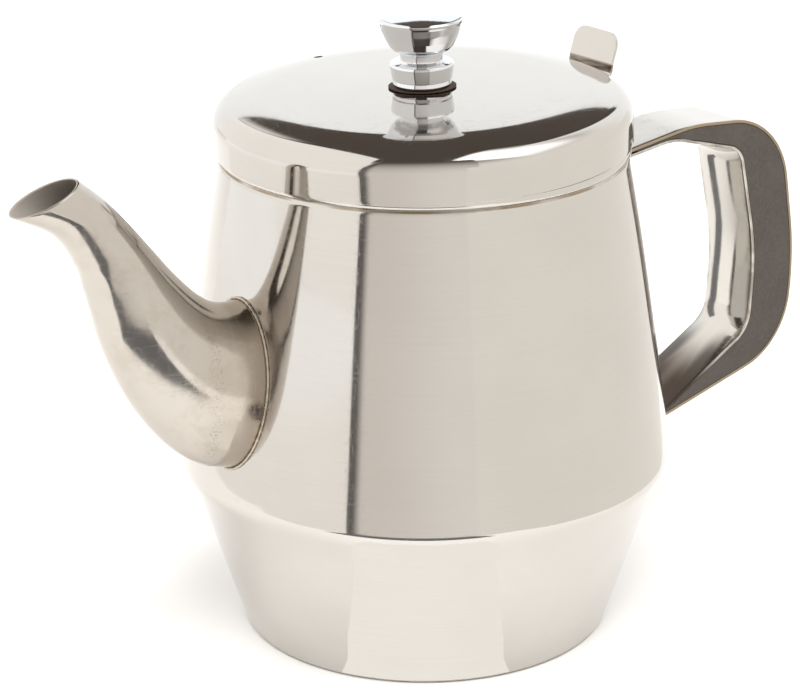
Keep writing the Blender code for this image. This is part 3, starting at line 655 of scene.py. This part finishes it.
def make_weld():
    """Ground weld bead with small ripples, round the spout's base."""
    rings = []
    turn, sides = 360, 14
    swings = [math.tau * corner / sides for corner in range(sides)]
    half_width, half_height = SPOUT_BASE.x + WELD_OUTSIDE, SPOUT_BASE.y + WELD_OUTSIDE
    for index in range(turn):
        angle = math.tau * index / turn
        ripple = 1.0 + 0.10 * math.sin(angle * 47) + 0.07 * math.sin(angle * 23 + 1.0)
        radius = WELD_RADIUS * ripple
        y = half_width * math.sin(angle)
        z = SPOUT_BASE_Z + half_height * math.cos(angle)
        reach = body_radius(z) + FIT_GAP + WELD_LIFT
        radial = Vector((-math.sqrt(reach ** 2 - y ** 2), y, 0)).normalized()
        centre = radial * reach + Vector((0, 0, z))
        along_y = half_width * math.cos(angle)
        along_z = -half_height * math.sin(angle)
        tangent = Vector((y * along_y / max(abs(radial.x * reach), MM), along_y, along_z)).normalized()
        side = tangent.cross(radial).normalized()
        ring = [centre + (radial * math.cos(swing) + side * math.sin(swing)) * radius for swing in swings]
        rings.append(ring)
    weld = sweep("weld_bead", rings, weld_look, closed=True, sharp=70.0)
    declare(weld, "pot", "weld", "spout_weld")


# ---- handle

HANDLE_WIDTH = 21.0 * MM
SHEET = 1.0 * MM
STRAP_CORNERS = [(100.0, 140.0), (139.1, 136.2), (147.4, 88.0), (144.6, 56.3)]
STRAP_RADII = [60.0, 28.0, 100.0, 25.0]
STRAP_TOP_Z = 135.3 * MM
STRAP_BOTTOM_Z = 38.1 * MM
FOOT_LENGTH = 9.0 * MM
FOOT_BEND = 3.0 * MM
GRIP_CORNERS = [
    (69.0, 134.5), (92.0, 137.1), (121.8, 128.6), (129.8, 92.0), (128.2, 65.1), (90.0, 44.6), (76.0, 41.2)
]
GRIP_RADII = [25.0, 9.0, 80.0, 12.0, 30.0]
GRIP_CROWN = 1.7 * MM
CORE_GAP = 0.05 * MM
CORE_INSET = 0.12 * MM
CORE_BEVEL = 0.2 * MM
CORE_START_X = 75 * MM
CORE_THINNEST = 0.4 * MM
FINGER_GAP_MIDDLE = Vector((110.0, 88.0)) * MM


def strap_path():
    """Outer face of the strap, from the lower foot up and round to the upper foot."""
    clear = FIT_GAP + SHEET
    low_end, top_end = STRAP_BOTTOM_Z - FOOT_LENGTH, STRAP_TOP_Z - FOOT_LENGTH
    lower = [(body_radius(z) + clear, z) for z in (low_end, STRAP_BOTTOM_Z)]
    upper = [(body_radius(z) + FIT_GAP, z) for z in (STRAP_TOP_Z, top_end)]
    outer = [(x * MM, z * MM) for x, z in reversed(STRAP_CORNERS)]
    radii = [FOOT_BEND] + [radius * MM for radius in reversed(STRAP_RADII)] + [FOOT_BEND]
    return rounded_path(lower + outer + upper, radii, 20)


def grip_path():
    """Face of the grip that looks at the strap."""
    corners = [(x * MM, z * MM) for x, z in reversed(GRIP_CORNERS)]
    return rounded_path(corners, [radius * MM for radius in reversed(GRIP_RADII)], 20)


def grip_crown(share):
    """Bulge of the grip along its length, none at its ends."""
    ramp = min(max((min(share, 1 - share) - 0.08) / 0.22, 0.0), 1.0)
    return GRIP_CROWN * ramp * ramp * (3 - 2 * ramp)


def distance_to_path(point, path):
    """Shortest distance from a point to a polyline."""
    nearest = 1.0
    for start, end in zip(path, path[1:]):
        run = end - start
        share = min(max((point - start).dot(run) / run.length_squared, 0.0), 1.0)
        nearest = min(nearest, (point - start - run * share).length)
    return nearest


def core_rings(outer, inner, middle):
    """Rectangular sections of the filler, each on one ray from a point inside the finger gap."""

    def turn_of(point):
        return math.atan2(point.y - middle.y, point.x - middle.x)

    def crossing(path, angle):
        for start, end in zip(path, path[1:]):
            low, high = turn_of(start), turn_of(end)
            if min(low, high) <= angle <= max(low, high) and abs(high - low) < 1.0:
                return start.lerp(end, (angle - low) / ((high - low) or 1.0))
        return None

    half = HANDLE_WIDTH / 2 - CORE_INSET
    flat_half = half - CORE_BEVEL
    rings = []
    start = max(turn_of(outer[0]), turn_of(inner[0]))
    end = min(turn_of(outer[-1]), turn_of(inner[-1]))
    steps = 220
    for step in range(steps + 1):
        angle = start + (end - start) * (0.001 + 0.998 * step / steps)
        far, near = crossing(outer, angle), crossing(inner, angle)
        if far is None or near is None:
            continue
        ring = []
        for point, other in ((far, near), (near, far)):
            inside = point.lerp(other, min(0.3, CORE_BEVEL / (other - point).length))
            corners = [(inside, half), (point, flat_half), (point, -flat_half), (inside, -half)]
            if point == near:
                corners = corners[::-1]
            ring += corners
        rings.append([(point.x, y, point.y) for point, y in ring])
    return rings


def make_handle():
    """Outer strap, crowned grip and the filler between them."""
    strap_line = resample(strap_path(), 1.5 * MM)
    strap = strip("strap", strap_line, SHEET, HANDLE_WIDTH, strap_look, 0.3 * MM)
    declare(strap, "pot", "strap_steel", "handle_strap")
    grip_line = resample(grip_path(), 1.2 * MM)
    grip = strip("grip", grip_line, SHEET, HANDLE_WIDTH, grip_look, 0.35 * MM, 32, grip_crown)
    declare(grip, "pot", "grip_steel", "handle_grip")
    strap_side = offset_path(strap_line, SHEET + CORE_GAP)
    grip_side = offset_path(resample(grip_path(), 1.5 * MM), -CORE_GAP)
    outer = [p for p in strap_side if p.x > CORE_START_X and distance_to_path(p, grip_side) > CORE_THINNEST]
    inner = [p for p in grip_side if p.x > CORE_START_X and distance_to_path(p, strap_side) > CORE_THINNEST]
    core = sweep("core", core_rings(outer, inner, FINGER_GAP_MIDDLE), core_look, sharp=30.0)
    declare(core, "pot", "core_filler", "handle_core")


# ---- hinge

LEAF = 0.9 * MM   # sheet of the bracket and the leaf
LEAF_WIDTH = 19.5 * MM
BRACKET_FOOT = (138.2, 145.6)   # heights between which the bracket lies on the wall
BRACKET_ARM = [(63.6, 146.4), (66.25, 148.4)]
LEAF_CORNERS = [(-1.2, 1.3), (-4.2, 3.6), (-4.2, 9.3), (-1.9, 12.6), (-1.4, 15.4), (1.6, 24.1)]
LEAF_RADII = [1.0, 2.0, 2.0, 3.0]
KNUCKLE = 2.2 * MM
KNUCKLE_BORE = 1.35 * MM
KNUCKLE_HALF = 3.4 * MM
TAB_ROUNDING = 4.5 * MM
LEAF_MATRIX = Matrix.Translation(HINGE) @ Matrix.Rotation(-LID_TILT, 4, "Y")


def make_hinge():
    """Bracket on the body, pin, and the lid's leaf with its thumb tab."""
    points = [(body_radius(z * MM) / MM + 0.3, z) for z in BRACKET_FOOT] + BRACKET_ARM
    path = rounded_path([Vector(p) * MM for p in points[::-1]], [1.2 * MM, 1.5 * MM], 6)
    bracket = strip("bracket", resample(path, MM), LEAF, LEAF_WIDTH, hinge_look, 0.15 * MM)
    combine(bracket, cylinder("knuckle", KNUCKLE, LEAF_WIDTH, hinge_look, "Y", HINGE), "UNION")
    combine(bracket, cylinder("bore", KNUCKLE_BORE, 2 * LEAF_WIDTH, hinge_look, "Y", HINGE), "DIFFERENCE")
    reach = Vector((3.0 * MM, KNUCKLE_HALF + FIT_GAP, 3.0 * MM))
    combine(bracket, block("slot", HINGE - reach, HINGE + reach, hinge_look), "DIFFERENCE")
    declare(bracket, "pot", "hinge_steel", "hinge_bracket")

    path = rounded_path([Vector(p) * MM for p in LEAF_CORNERS], [r * MM for r in LEAF_RADII], 10)
    path = resample(path, 0.2 * MM)
    tab = {"rounding": TAB_ROUNDING, "matrix": LEAF_MATRIX}
    leaf = strip("leaf", path, LEAF, LEAF_WIDTH, leaf_look, 0.2 * MM, **tab)
    for side in (-1, 1):
        relief_low, relief_high = sorted((side * KNUCKLE_HALF, side * LEAF_WIDTH))
        relief = block("relief", (-8 * MM, relief_low, -4 * MM), (4 * MM, relief_high, 3.4 * MM), leaf_look)
        combine(leaf, relief, "DIFFERENCE")
    combine(leaf, cylinder("knuckle", KNUCKLE, 2 * KNUCKLE_HALF, leaf_look, "Y", (0, 0, 0)), "UNION")
    combine(leaf, cylinder("bore", KNUCKLE_BORE, LEAF_WIDTH, leaf_look, "Y", (0, 0, 0)), "DIFFERENCE")
    declare(leaf, "lid", "hinge_steel", "hinge_leaf")

    half = LEAF_WIDTH / 2 / MM + 0.3
    corners = [(0.0, half + 0.8), (1.6, half + 0.75), (1.9, half), (1.2, half), (1.2, 0.0)]
    side = rounded_path(corners, [0.4, 0.2, 0.05], 5)
    profile = [corners[0]] + side[1:-1]
    profile = profile + [(r, -z) for r, z in reversed(profile)]
    matrix = Matrix.Translation(HINGE) @ Matrix.Rotation(math.pi / 2, 4, "X")
    pin = lathe("pin", [(r * MM, z * MM) for r, z in profile], pin_look, SMALL_TURN, matrix)
    declare(pin, "pot", "pin_steel", "hinge_pin")


# ---- lid, knob and fixing

# The lid's own frame, in millimetres: origin on its axis, at the skirt's lower edge
LID_MATRIX = LEAF_MATRIX @ Matrix.Translation((-67.75 * MM, 0, 2.75 * MM))
LID_TOP = 16.4
LID_RADIUS = 62.0
LID_EDGE = 0.15   # rounding of the lower edge
LID_SKIRT = 7.9   # height at which the shoulder starts
LID_SHOULDER = 6.313
LID_SHOULDER_X = 55.687
LID_SHOULDER_END = 77.15   # angle at which the shoulder meets the crown
LID_CROWN = 57.0   # radius at which the crown ends
LID_SHEET = 0.7
SCREW_HOLE = 2.4
SHANK = 2.0
VENT = 1.4
VENT_PLACE = (0, 52 * MM, 14.3 * MM)
KNOB_HEIGHT = 21.75
WASHER_SHEET = 0.6
WASHER_TURN = math.radians(-38.0)


def on_lid(name, profile, look, turn=SHELL_TURN, sharp=SHARP_ANGLE):
    """Turned piece from an (r, z) profile in millimetres, on the lid's axis."""
    return lathe(name, [(r * MM, z * MM) for r, z in profile], look, turn, LID_MATRIX, sharp)


def crown_height(radius):
    """Height of the lid's top at a radius: a shallow dome, steeper near the shoulder."""
    return LID_TOP - 0.8 * (radius / 45.0) ** 2 - 0.00790 * max(radius - 45.5, 0.0) ** 2


def make_lid():
    """Drawn cap with a rounded lower edge, a vent hole and the screw hole."""
    edge = arc((LID_RADIUS - LID_EDGE, LID_EDGE), LID_EDGE, -170, 0, 8)
    skirt_top = Vector((LID_RADIUS, LID_SKIRT))
    outer = edge + [edge[-1].lerp(skirt_top, step / 8) for step in range(1, 9)]
    shoulder = (LID_SHOULDER_X, LID_SKIRT)
    outer += arc(shoulder, LID_SHOULDER, 0, LID_SHOULDER_END, 32)[1:]
    radii = spread(SCREW_HOLE, LID_CROWN, 90)
    outer += [Vector((radius, crown_height(radius))) for radius in reversed(radii)]
    inner = [Vector((radius, crown_height(radius) - LID_SHEET)) for radius in radii]
    inner += arc(shoulder, LID_SHOULDER - LID_SHEET, LID_SHOULDER_END, 0, 16)
    inner += [Vector((61.65, 6.8)), Vector((61.7, 0.4))]
    lid = on_lid("lid", outer + inner, lid_look)
    hole = cylinder("vent", VENT * MM, 8 * MM, lid_look, "Z", VENT_PLACE, 32)
    combine(lid, hole, "DIFFERENCE")
    declare(lid, "lid", "lid_steel", "lid_shell")


def make_knob():
    """Turned knob with its screw bore."""
    corners = [
        (SCREW_HOLE, 0.8), (7.9, 0.8), (8.75, 1.6), (8.5, 2.7), (8.9, 3.0), (9.5, 7.0),
        (9.2, 7.7), (6.9, 7.9), (6.3, 8.5), (6.3, 10.5), (6.9, 11.2), (8.5, 11.7), (9.6, 12.9),
        (10.6, 14.9), (11.6, 17.4), (12.15, 19.5), (12.6, 20.1), (12.75, 20.8), (12.0, 21.35),
        (6.0, 21.65), (0.0, KNOB_HEIGHT),
    ]
    radii = [0.1, 0.12, 0.08, 0.1, 0.25, 0.3, 0.3, 0.25, 0.3, 0.4]
    radii += [0.9, 1.5, 4.0, 6.0, 0.25, 0.12, 0.2, 0.9, 12.0]
    outline = rounded_path([(r, LID_TOP + h) for r, h in corners], radii, 6)
    bore_end = LID_TOP + 10.2
    profile = [(0.0, bore_end), (SCREW_HOLE, bore_end)] + outline[:-1] + [(0.0, LID_TOP + KNOB_HEIGHT)]
    declare(on_lid("knob_head", profile, knob_look, 128, 35.0), "lid", "knob_chrome", "knob")


def make_fixing():
    """The fibre washer under the knob, and the washer and screw inside the lid."""
    hole, sheet = SCREW_HOLE, WASHER_SHEET
    ring = [(hole, 0.1), (9.3, 0.1), (9.45, 0.2), (9.45, 0.5), (9.3, sheet), (hole, sheet)]
    washer = on_lid("washer", [(r, LID_TOP + h) for r, h in ring], washer_look, SMALL_TURN, 60.0)
    long_way = Vector((math.cos(WASHER_TURN), math.sin(WASHER_TURN), 0.0))
    short_way = Vector((-long_way.y, long_way.x, 0.0))
    longer, narrower = 0.06, 0.12
    for vert in washer.data.vertices:
        vert.co += long_way * vert.co.dot(long_way) * longer - short_way * vert.co.dot(short_way) * narrower
    declare(washer, "lid", "washer_fibre", "knob_washer")

    washer_low = LID_TOP - LID_SHEET - 0.3 - sheet
    ring = [(hole, 0.0), (5.3, 0.0), (5.5, 0.2), (5.5, 0.4), (5.3, sheet), (hole, sheet)]
    inner = on_lid("inner_washer", [(r, washer_low + h) for r, h in ring], screw_look, SMALL_TURN, 60.0)
    declare(inner, "lid", "screw_steel", "screw_washer")

    seat, tip = washer_low - 0.3, LID_TOP + 9.4
    head = arc((2.6, seat - 1.0), 1.4, -90, 0, 8)
    head_low = seat - 2.4
    profile = [(0.0, head_low)] + head + [(4.0, seat), (SHANK, seat)]
    profile += [(SHANK, tip - 0.6), (1.4, tip), (0.0, tip)]
    screw = on_lid("screw", profile, screw_look, SMALL_TURN, 50.0)
    for half_x, half_y in ((2.6, 0.4), (0.4, 2.6)):
        low = Vector((-half_x, -half_y, seat - 2.6)) * MM
        high = Vector((half_x, half_y, head_low + 0.9)) * MM
        combine(screw, block("slot", low, high, screw_look), "DIFFERENCE")
    declare(screw, "lid", "screw_steel", "knob_screw")


make_body()
make_spout()
make_weld()
make_handle()
make_hinge()
make_lid()
make_knob()
make_fixing()


# ---- studio

CAMERA_AZIMUTH = math.radians(-38.0)
CAMERA_ELEVATION = math.radians(21.25)
CAMERA_ROLL = -0.0039
CAMERA_DISTANCE = 0.850
CAMERA_AIM = Vector((0, 0, 0.070))
LENS = 125.0
LENS_SHIFT = (-0.0308, 0.0609)
LIGHT_LEVEL = 1.35
CARD_LIFT = 1.0 * MM   # height of the flat cards over the floor
DARK_ROOM = (0.10, 0.085, 0.075)


def make_camera():
    """Camera at the viewing angle of the picture."""
    data = bpy.data.cameras.new("camera")
    camera = bpy.data.objects.new("camera", data)
    bpy.context.scene.collection.objects.link(camera)
    level, rise = math.cos(CAMERA_ELEVATION), math.sin(CAMERA_ELEVATION)
    back = Vector((math.sin(CAMERA_AZIMUTH) * level, -math.cos(CAMERA_AZIMUTH) * level, rise))
    camera.location = CAMERA_AIM + back * CAMERA_DISTANCE
    towards = (-back).to_track_quat("-Z", "Y").to_matrix()
    camera.rotation_euler = (towards @ Matrix.Rotation(CAMERA_ROLL, 3, "Z")).to_euler()
    data.sensor_width = 36.0
    data.lens = LENS
    data.shift_x, data.shift_y = LENS_SHIFT
    data.clip_start = 0.05
    data.clip_end = 50.0
    bpy.context.scene.camera = camera


def make_world():
    """Soft studio surroundings, laid out round the camera's direction.

    ahead, right and up are the parts of a direction towards the camera, to its right and upwards.
    """
    world = bpy.data.worlds.new("studio")
    bpy.context.scene.world = world
    world.use_nodes = True
    nodes = Nodes(world.node_tree)
    background = world.node_tree.nodes["Background"]
    x, y, up = nodes.split(nodes.add("ShaderNodeTexCoord").outputs["Generated"])
    sine, cosine = math.sin(CAMERA_AZIMUTH), math.cos(CAMERA_AZIMUTH)
    ahead = nodes.sum(nodes.mul(x, sine), nodes.mul(y, -cosine))
    right = nodes.sum(nodes.mul(x, cosine), nodes.mul(y, sine))
    left = nodes.mul(right, -1.0)
    azimuth = nodes.mul(nodes.math("ARCTAN2", right, ahead), 180 / math.pi)
    elevation = nodes.mul(nodes.math("ARCSINE", up), 180 / math.pi)

    # Walls: light beige, darkening towards the ceiling on the camera's side
    wall = nodes.mix(nodes.ramp(elevation, 28.0, 66.0), (0.89, 0.86, 0.82), DARK_ROOM)

    # Ceiling, dark, down to the top of the backdrop behind the pot
    turned = nodes.math("ABSOLUTE", azimuth)
    behind = nodes.ramp(turned, 138.0, 162.0)
    edge = nodes.math("SUBTRACT", elevation, nodes.mul(nodes.math("SUBTRACT", 1.0, behind), 44.0))
    ceiling = nodes.ramp(edge, 17.0, 19.0)
    wall = nodes.mix(nodes.ramp(turned, 120.0, 150.0), wall, (0.97, 0.99, 1.0))
    room = nodes.mix(ceiling, wall, (0.085, 0.070, 0.060))

    # Large white wall to the left, as a plane at distance 1
    over_left = nodes.math("MAXIMUM", left, 0.02)
    forward = nodes.math("DIVIDE", ahead, over_left)
    rise = nodes.math("DIVIDE", up, over_left)
    front = nodes.ramp(forward, 1.70, 1.62)
    top = nodes.ramp(rise, 3.85, 3.55)
    slanted = nodes.ramp(nodes.sum(rise, nodes.mul(forward, 2.17)), 4.95, 4.65)
    softbox = nodes.mul(nodes.mul(front, top), nodes.mul(slanted, nodes.ramp(left, 0.03, 0.07)))
    softbox = nodes.mul(softbox, nodes.ramp(forward, -5.0, -3.8))
    room = nodes.mix(softbox, room, (1.02, 1.0, 0.97))

    # Overhead softbox on the right, as a plane at height 1
    over_up = nodes.math("MAXIMUM", up, 0.02)
    sideways = nodes.math("DIVIDE", right, over_up)
    along = nodes.math("DIVIDE", ahead, over_up)
    inside = nodes.mul(nodes.ramp(sideways, 0.16, 0.21), nodes.ramp(sideways, 1.5, 0.65))
    inside = nodes.mul(inside, nodes.mul(nodes.ramp(along, -0.65, -0.1), nodes.ramp(along, 0.65, 0.45)))
    room = nodes.mix(inside, room, (1.75, 1.75, 1.75))

    seen = nodes.add("ShaderNodeLightPath").outputs["Is Camera Ray"]
    nodes.put(background.inputs["Color"], nodes.mix(seen, room, (0.8, 0.8, 0.8)))
    background.inputs["Strength"].default_value = LIGHT_LEVEL


def make_card(name, corners, paint):
    """Glowing card that is seen only in reflections. Corners are (right, ahead, height) in metres."""
    look, nodes, _ = new_material(name)
    glow = nodes.add("ShaderNodeEmission")
    nodes.put(look.node_tree.nodes["Material Output"].inputs["Surface"], glow.outputs[0])
    x, _, z = nodes.split(nodes.add("ShaderNodeTexCoord").outputs["Object"])
    nodes.put(glow.inputs["Color"], paint(nodes, x, z))
    glow.inputs["Strength"].default_value = LIGHT_LEVEL
    mesh_data = bmesh.new()
    mesh_data.faces.new([mesh_data.verts.new((right, -ahead, height)) for right, ahead, height in corners])
    card = finish_mesh(name, mesh_data, look)
    card.rotation_euler = (0, 0, CAMERA_AZIMUTH)
    card.visible_camera = False
    card.visible_diffuse = False
    card.visible_shadow = False
    card.visible_transmission = False


def upright(first, second, high):
    """Corners of an upright card over the line between two (right, ahead) spots."""
    return [(*first, 0), (*second, 0), (*second, high), (*first, high)]


def flat(spots):
    """Corners of a card that lies on the floor, from its (right, ahead) spots."""
    return [(*spot, CARD_LIFT) for spot in spots]


def dark_paint(nodes, x, z):
    """Dark grey, slightly mottled."""
    return nodes.mix(nodes.noise(nodes.join(x, z, 0.0), 30.0), (0.15, 0.15, 0.16), (0.21, 0.205, 0.21))


def light_paint(nodes, x, z):
    """Light beige."""
    return nodes.mix(nodes.ramp(z, 0.05, 0.4), (0.87, 0.845, 0.80), (0.89, 0.865, 0.825))


def bright_paint(nodes, x, z):
    """White paper, slightly mottled."""
    return nodes.mix(nodes.noise(nodes.join(x, z, 0.0), 20.0), (1.07, 1.06, 1.02), (1.10, 1.09, 1.05))


def distant_paint(nodes, x, z):
    """White, with a warm tone close to the pot."""
    return nodes.mix(nodes.ramp(x, -0.30, -0.85), (0.98, 0.945, 0.905), (1.06, 1.065, 1.06))


def pale_paint(nodes, x, z):
    """Cool white."""
    return nodes.mix(nodes.ramp(z, 0.0, 0.4), (0.96, 0.97, 0.97), (0.97, 0.99, 1.0))


def make_cards():
    """Cards in front with paper and dark strips at their foot, then to the right, left and behind."""
    left, right, ahead = -0.150, 0.0935, 0.252
    top, top_right, foot = 0.62, 0.17, 0.184

    def front_paint(nodes, x, z):
        shade = nodes.mix(nodes.ramp(x, left + 0.04, right), (0.74, 0.70, 0.66), (0.85, 0.82, 0.785))
        shade = nodes.mix(nodes.ramp(x, left + 0.035, left + 0.012), shade, (0.13, 0.12, 0.115))
        return nodes.mix(nodes.ramp(z, 0.14, 0.55), shade, DARK_ROOM)

    corners = [(left, ahead, 0), (right, ahead, 0), (top_right, ahead, top), (left, ahead, top)]
    make_card("front_card", corners, front_paint)
    make_card("foot_card", flat([(left, foot), (right, foot), (right, ahead), (left, ahead)]), dark_paint)
    kick = ahead - 0.002
    make_card("kick_card", upright((-0.132, kick), (0.086, kick), 0.008), dark_paint)
    # Paper that widens away from the pot, so that the cone shows it with straight sides
    side = [(0.023, 0.045), (0.0265, 0.055), (0.032, 0.062), (0.037, 0.073)]
    side += [(0.041, 0.09), (0.045, 0.111), (0.042, 0.116)]
    make_card("sheet_card", flat(side + [(-half, deep) for half, deep in reversed(side)]), bright_paint)

    bend, far, back, side_high = (0.36, 0.20), (0.42, -0.35), (0.45, -1.2), 0.25
    make_card("right_card", upright((right, ahead), bend, side_high), light_paint)
    make_card("side_card", upright(bend, far, side_high), light_paint)
    make_card("back_card", upright(far, back, side_high), light_paint)
    shore = [(-0.151, 0.252), (-0.30, 0.10), (-0.30, -0.20)]
    shore += [(-2.2, -1.8), (-2.9, 0.0), (-2.3, 1.9), (-1.70, 2.84)]
    make_card("left_card", flat(shore), distant_paint)
    make_card("back_wall", upright((-0.5, -0.606), (0.5, -0.606), 0.428), pale_paint)
    make_card("thin_card", upright((-0.058, -0.134), (-0.020, -0.155), 0.145), dark_paint)
    near = 0.17
    make_card("floor_card", flat([(near, ahead), bend, far, back, (near, back[1])]), light_paint)


def make_floor():
    """Plain white floor with the faintest mottling."""
    look, nodes, shader = new_material("floor")
    cloud = nodes.noise(nodes.position(), 0.004)
    nodes.put(shader.inputs["Base Color"], nodes.mix(cloud, (0.90, 0.895, 0.885), (0.92, 0.915, 0.905)))
    shader.inputs["Roughness"].default_value = 0.9
    shader.inputs["Specular IOR Level"].default_value = 0.1
    mesh_data = bmesh.new()
    bmesh.ops.create_circle(mesh_data, cap_ends=True, segments=64, radius=3.0)
    floor = finish_mesh("floor", mesh_data, look)
    floor.location = (0, 0, -0.1 * MM)


def make_light():
    """Soft fills that whiten the floor and aren't mirrored in the metal."""
    ahead = Vector((math.sin(CAMERA_AZIMUTH), -math.cos(CAMERA_AZIMUTH), 0))
    down = Vector((0, 0, -1))
    front = ahead * 0.55 + Vector((0, 0, 0.9))
    lights = (("fill", (0, 0, 1.9), down, 2.2, 16.0), ("front_fill", front, ahead * 0.08 - front, 0.5, 5.0))
    for name, place, aim, size, energy in lights:
        data = bpy.data.lights.new(name, "AREA")
        data.shape = "DISK"
        data.size = size
        data.energy = energy
        light = bpy.data.objects.new(name, data)
        light.location = place
        light.rotation_euler = aim.to_track_quat("-Z", "Y").to_euler()
        light.visible_glossy = False
        light.visible_camera = False
        bpy.context.scene.collection.objects.link(light)


make_camera()
make_world()
make_floor()
make_cards()
make_light()

scene = bpy.context.scene
scene.view_settings.view_transform = "Standard"
scene.view_settings.look = "None"
scene.cycles.use_denoising = True
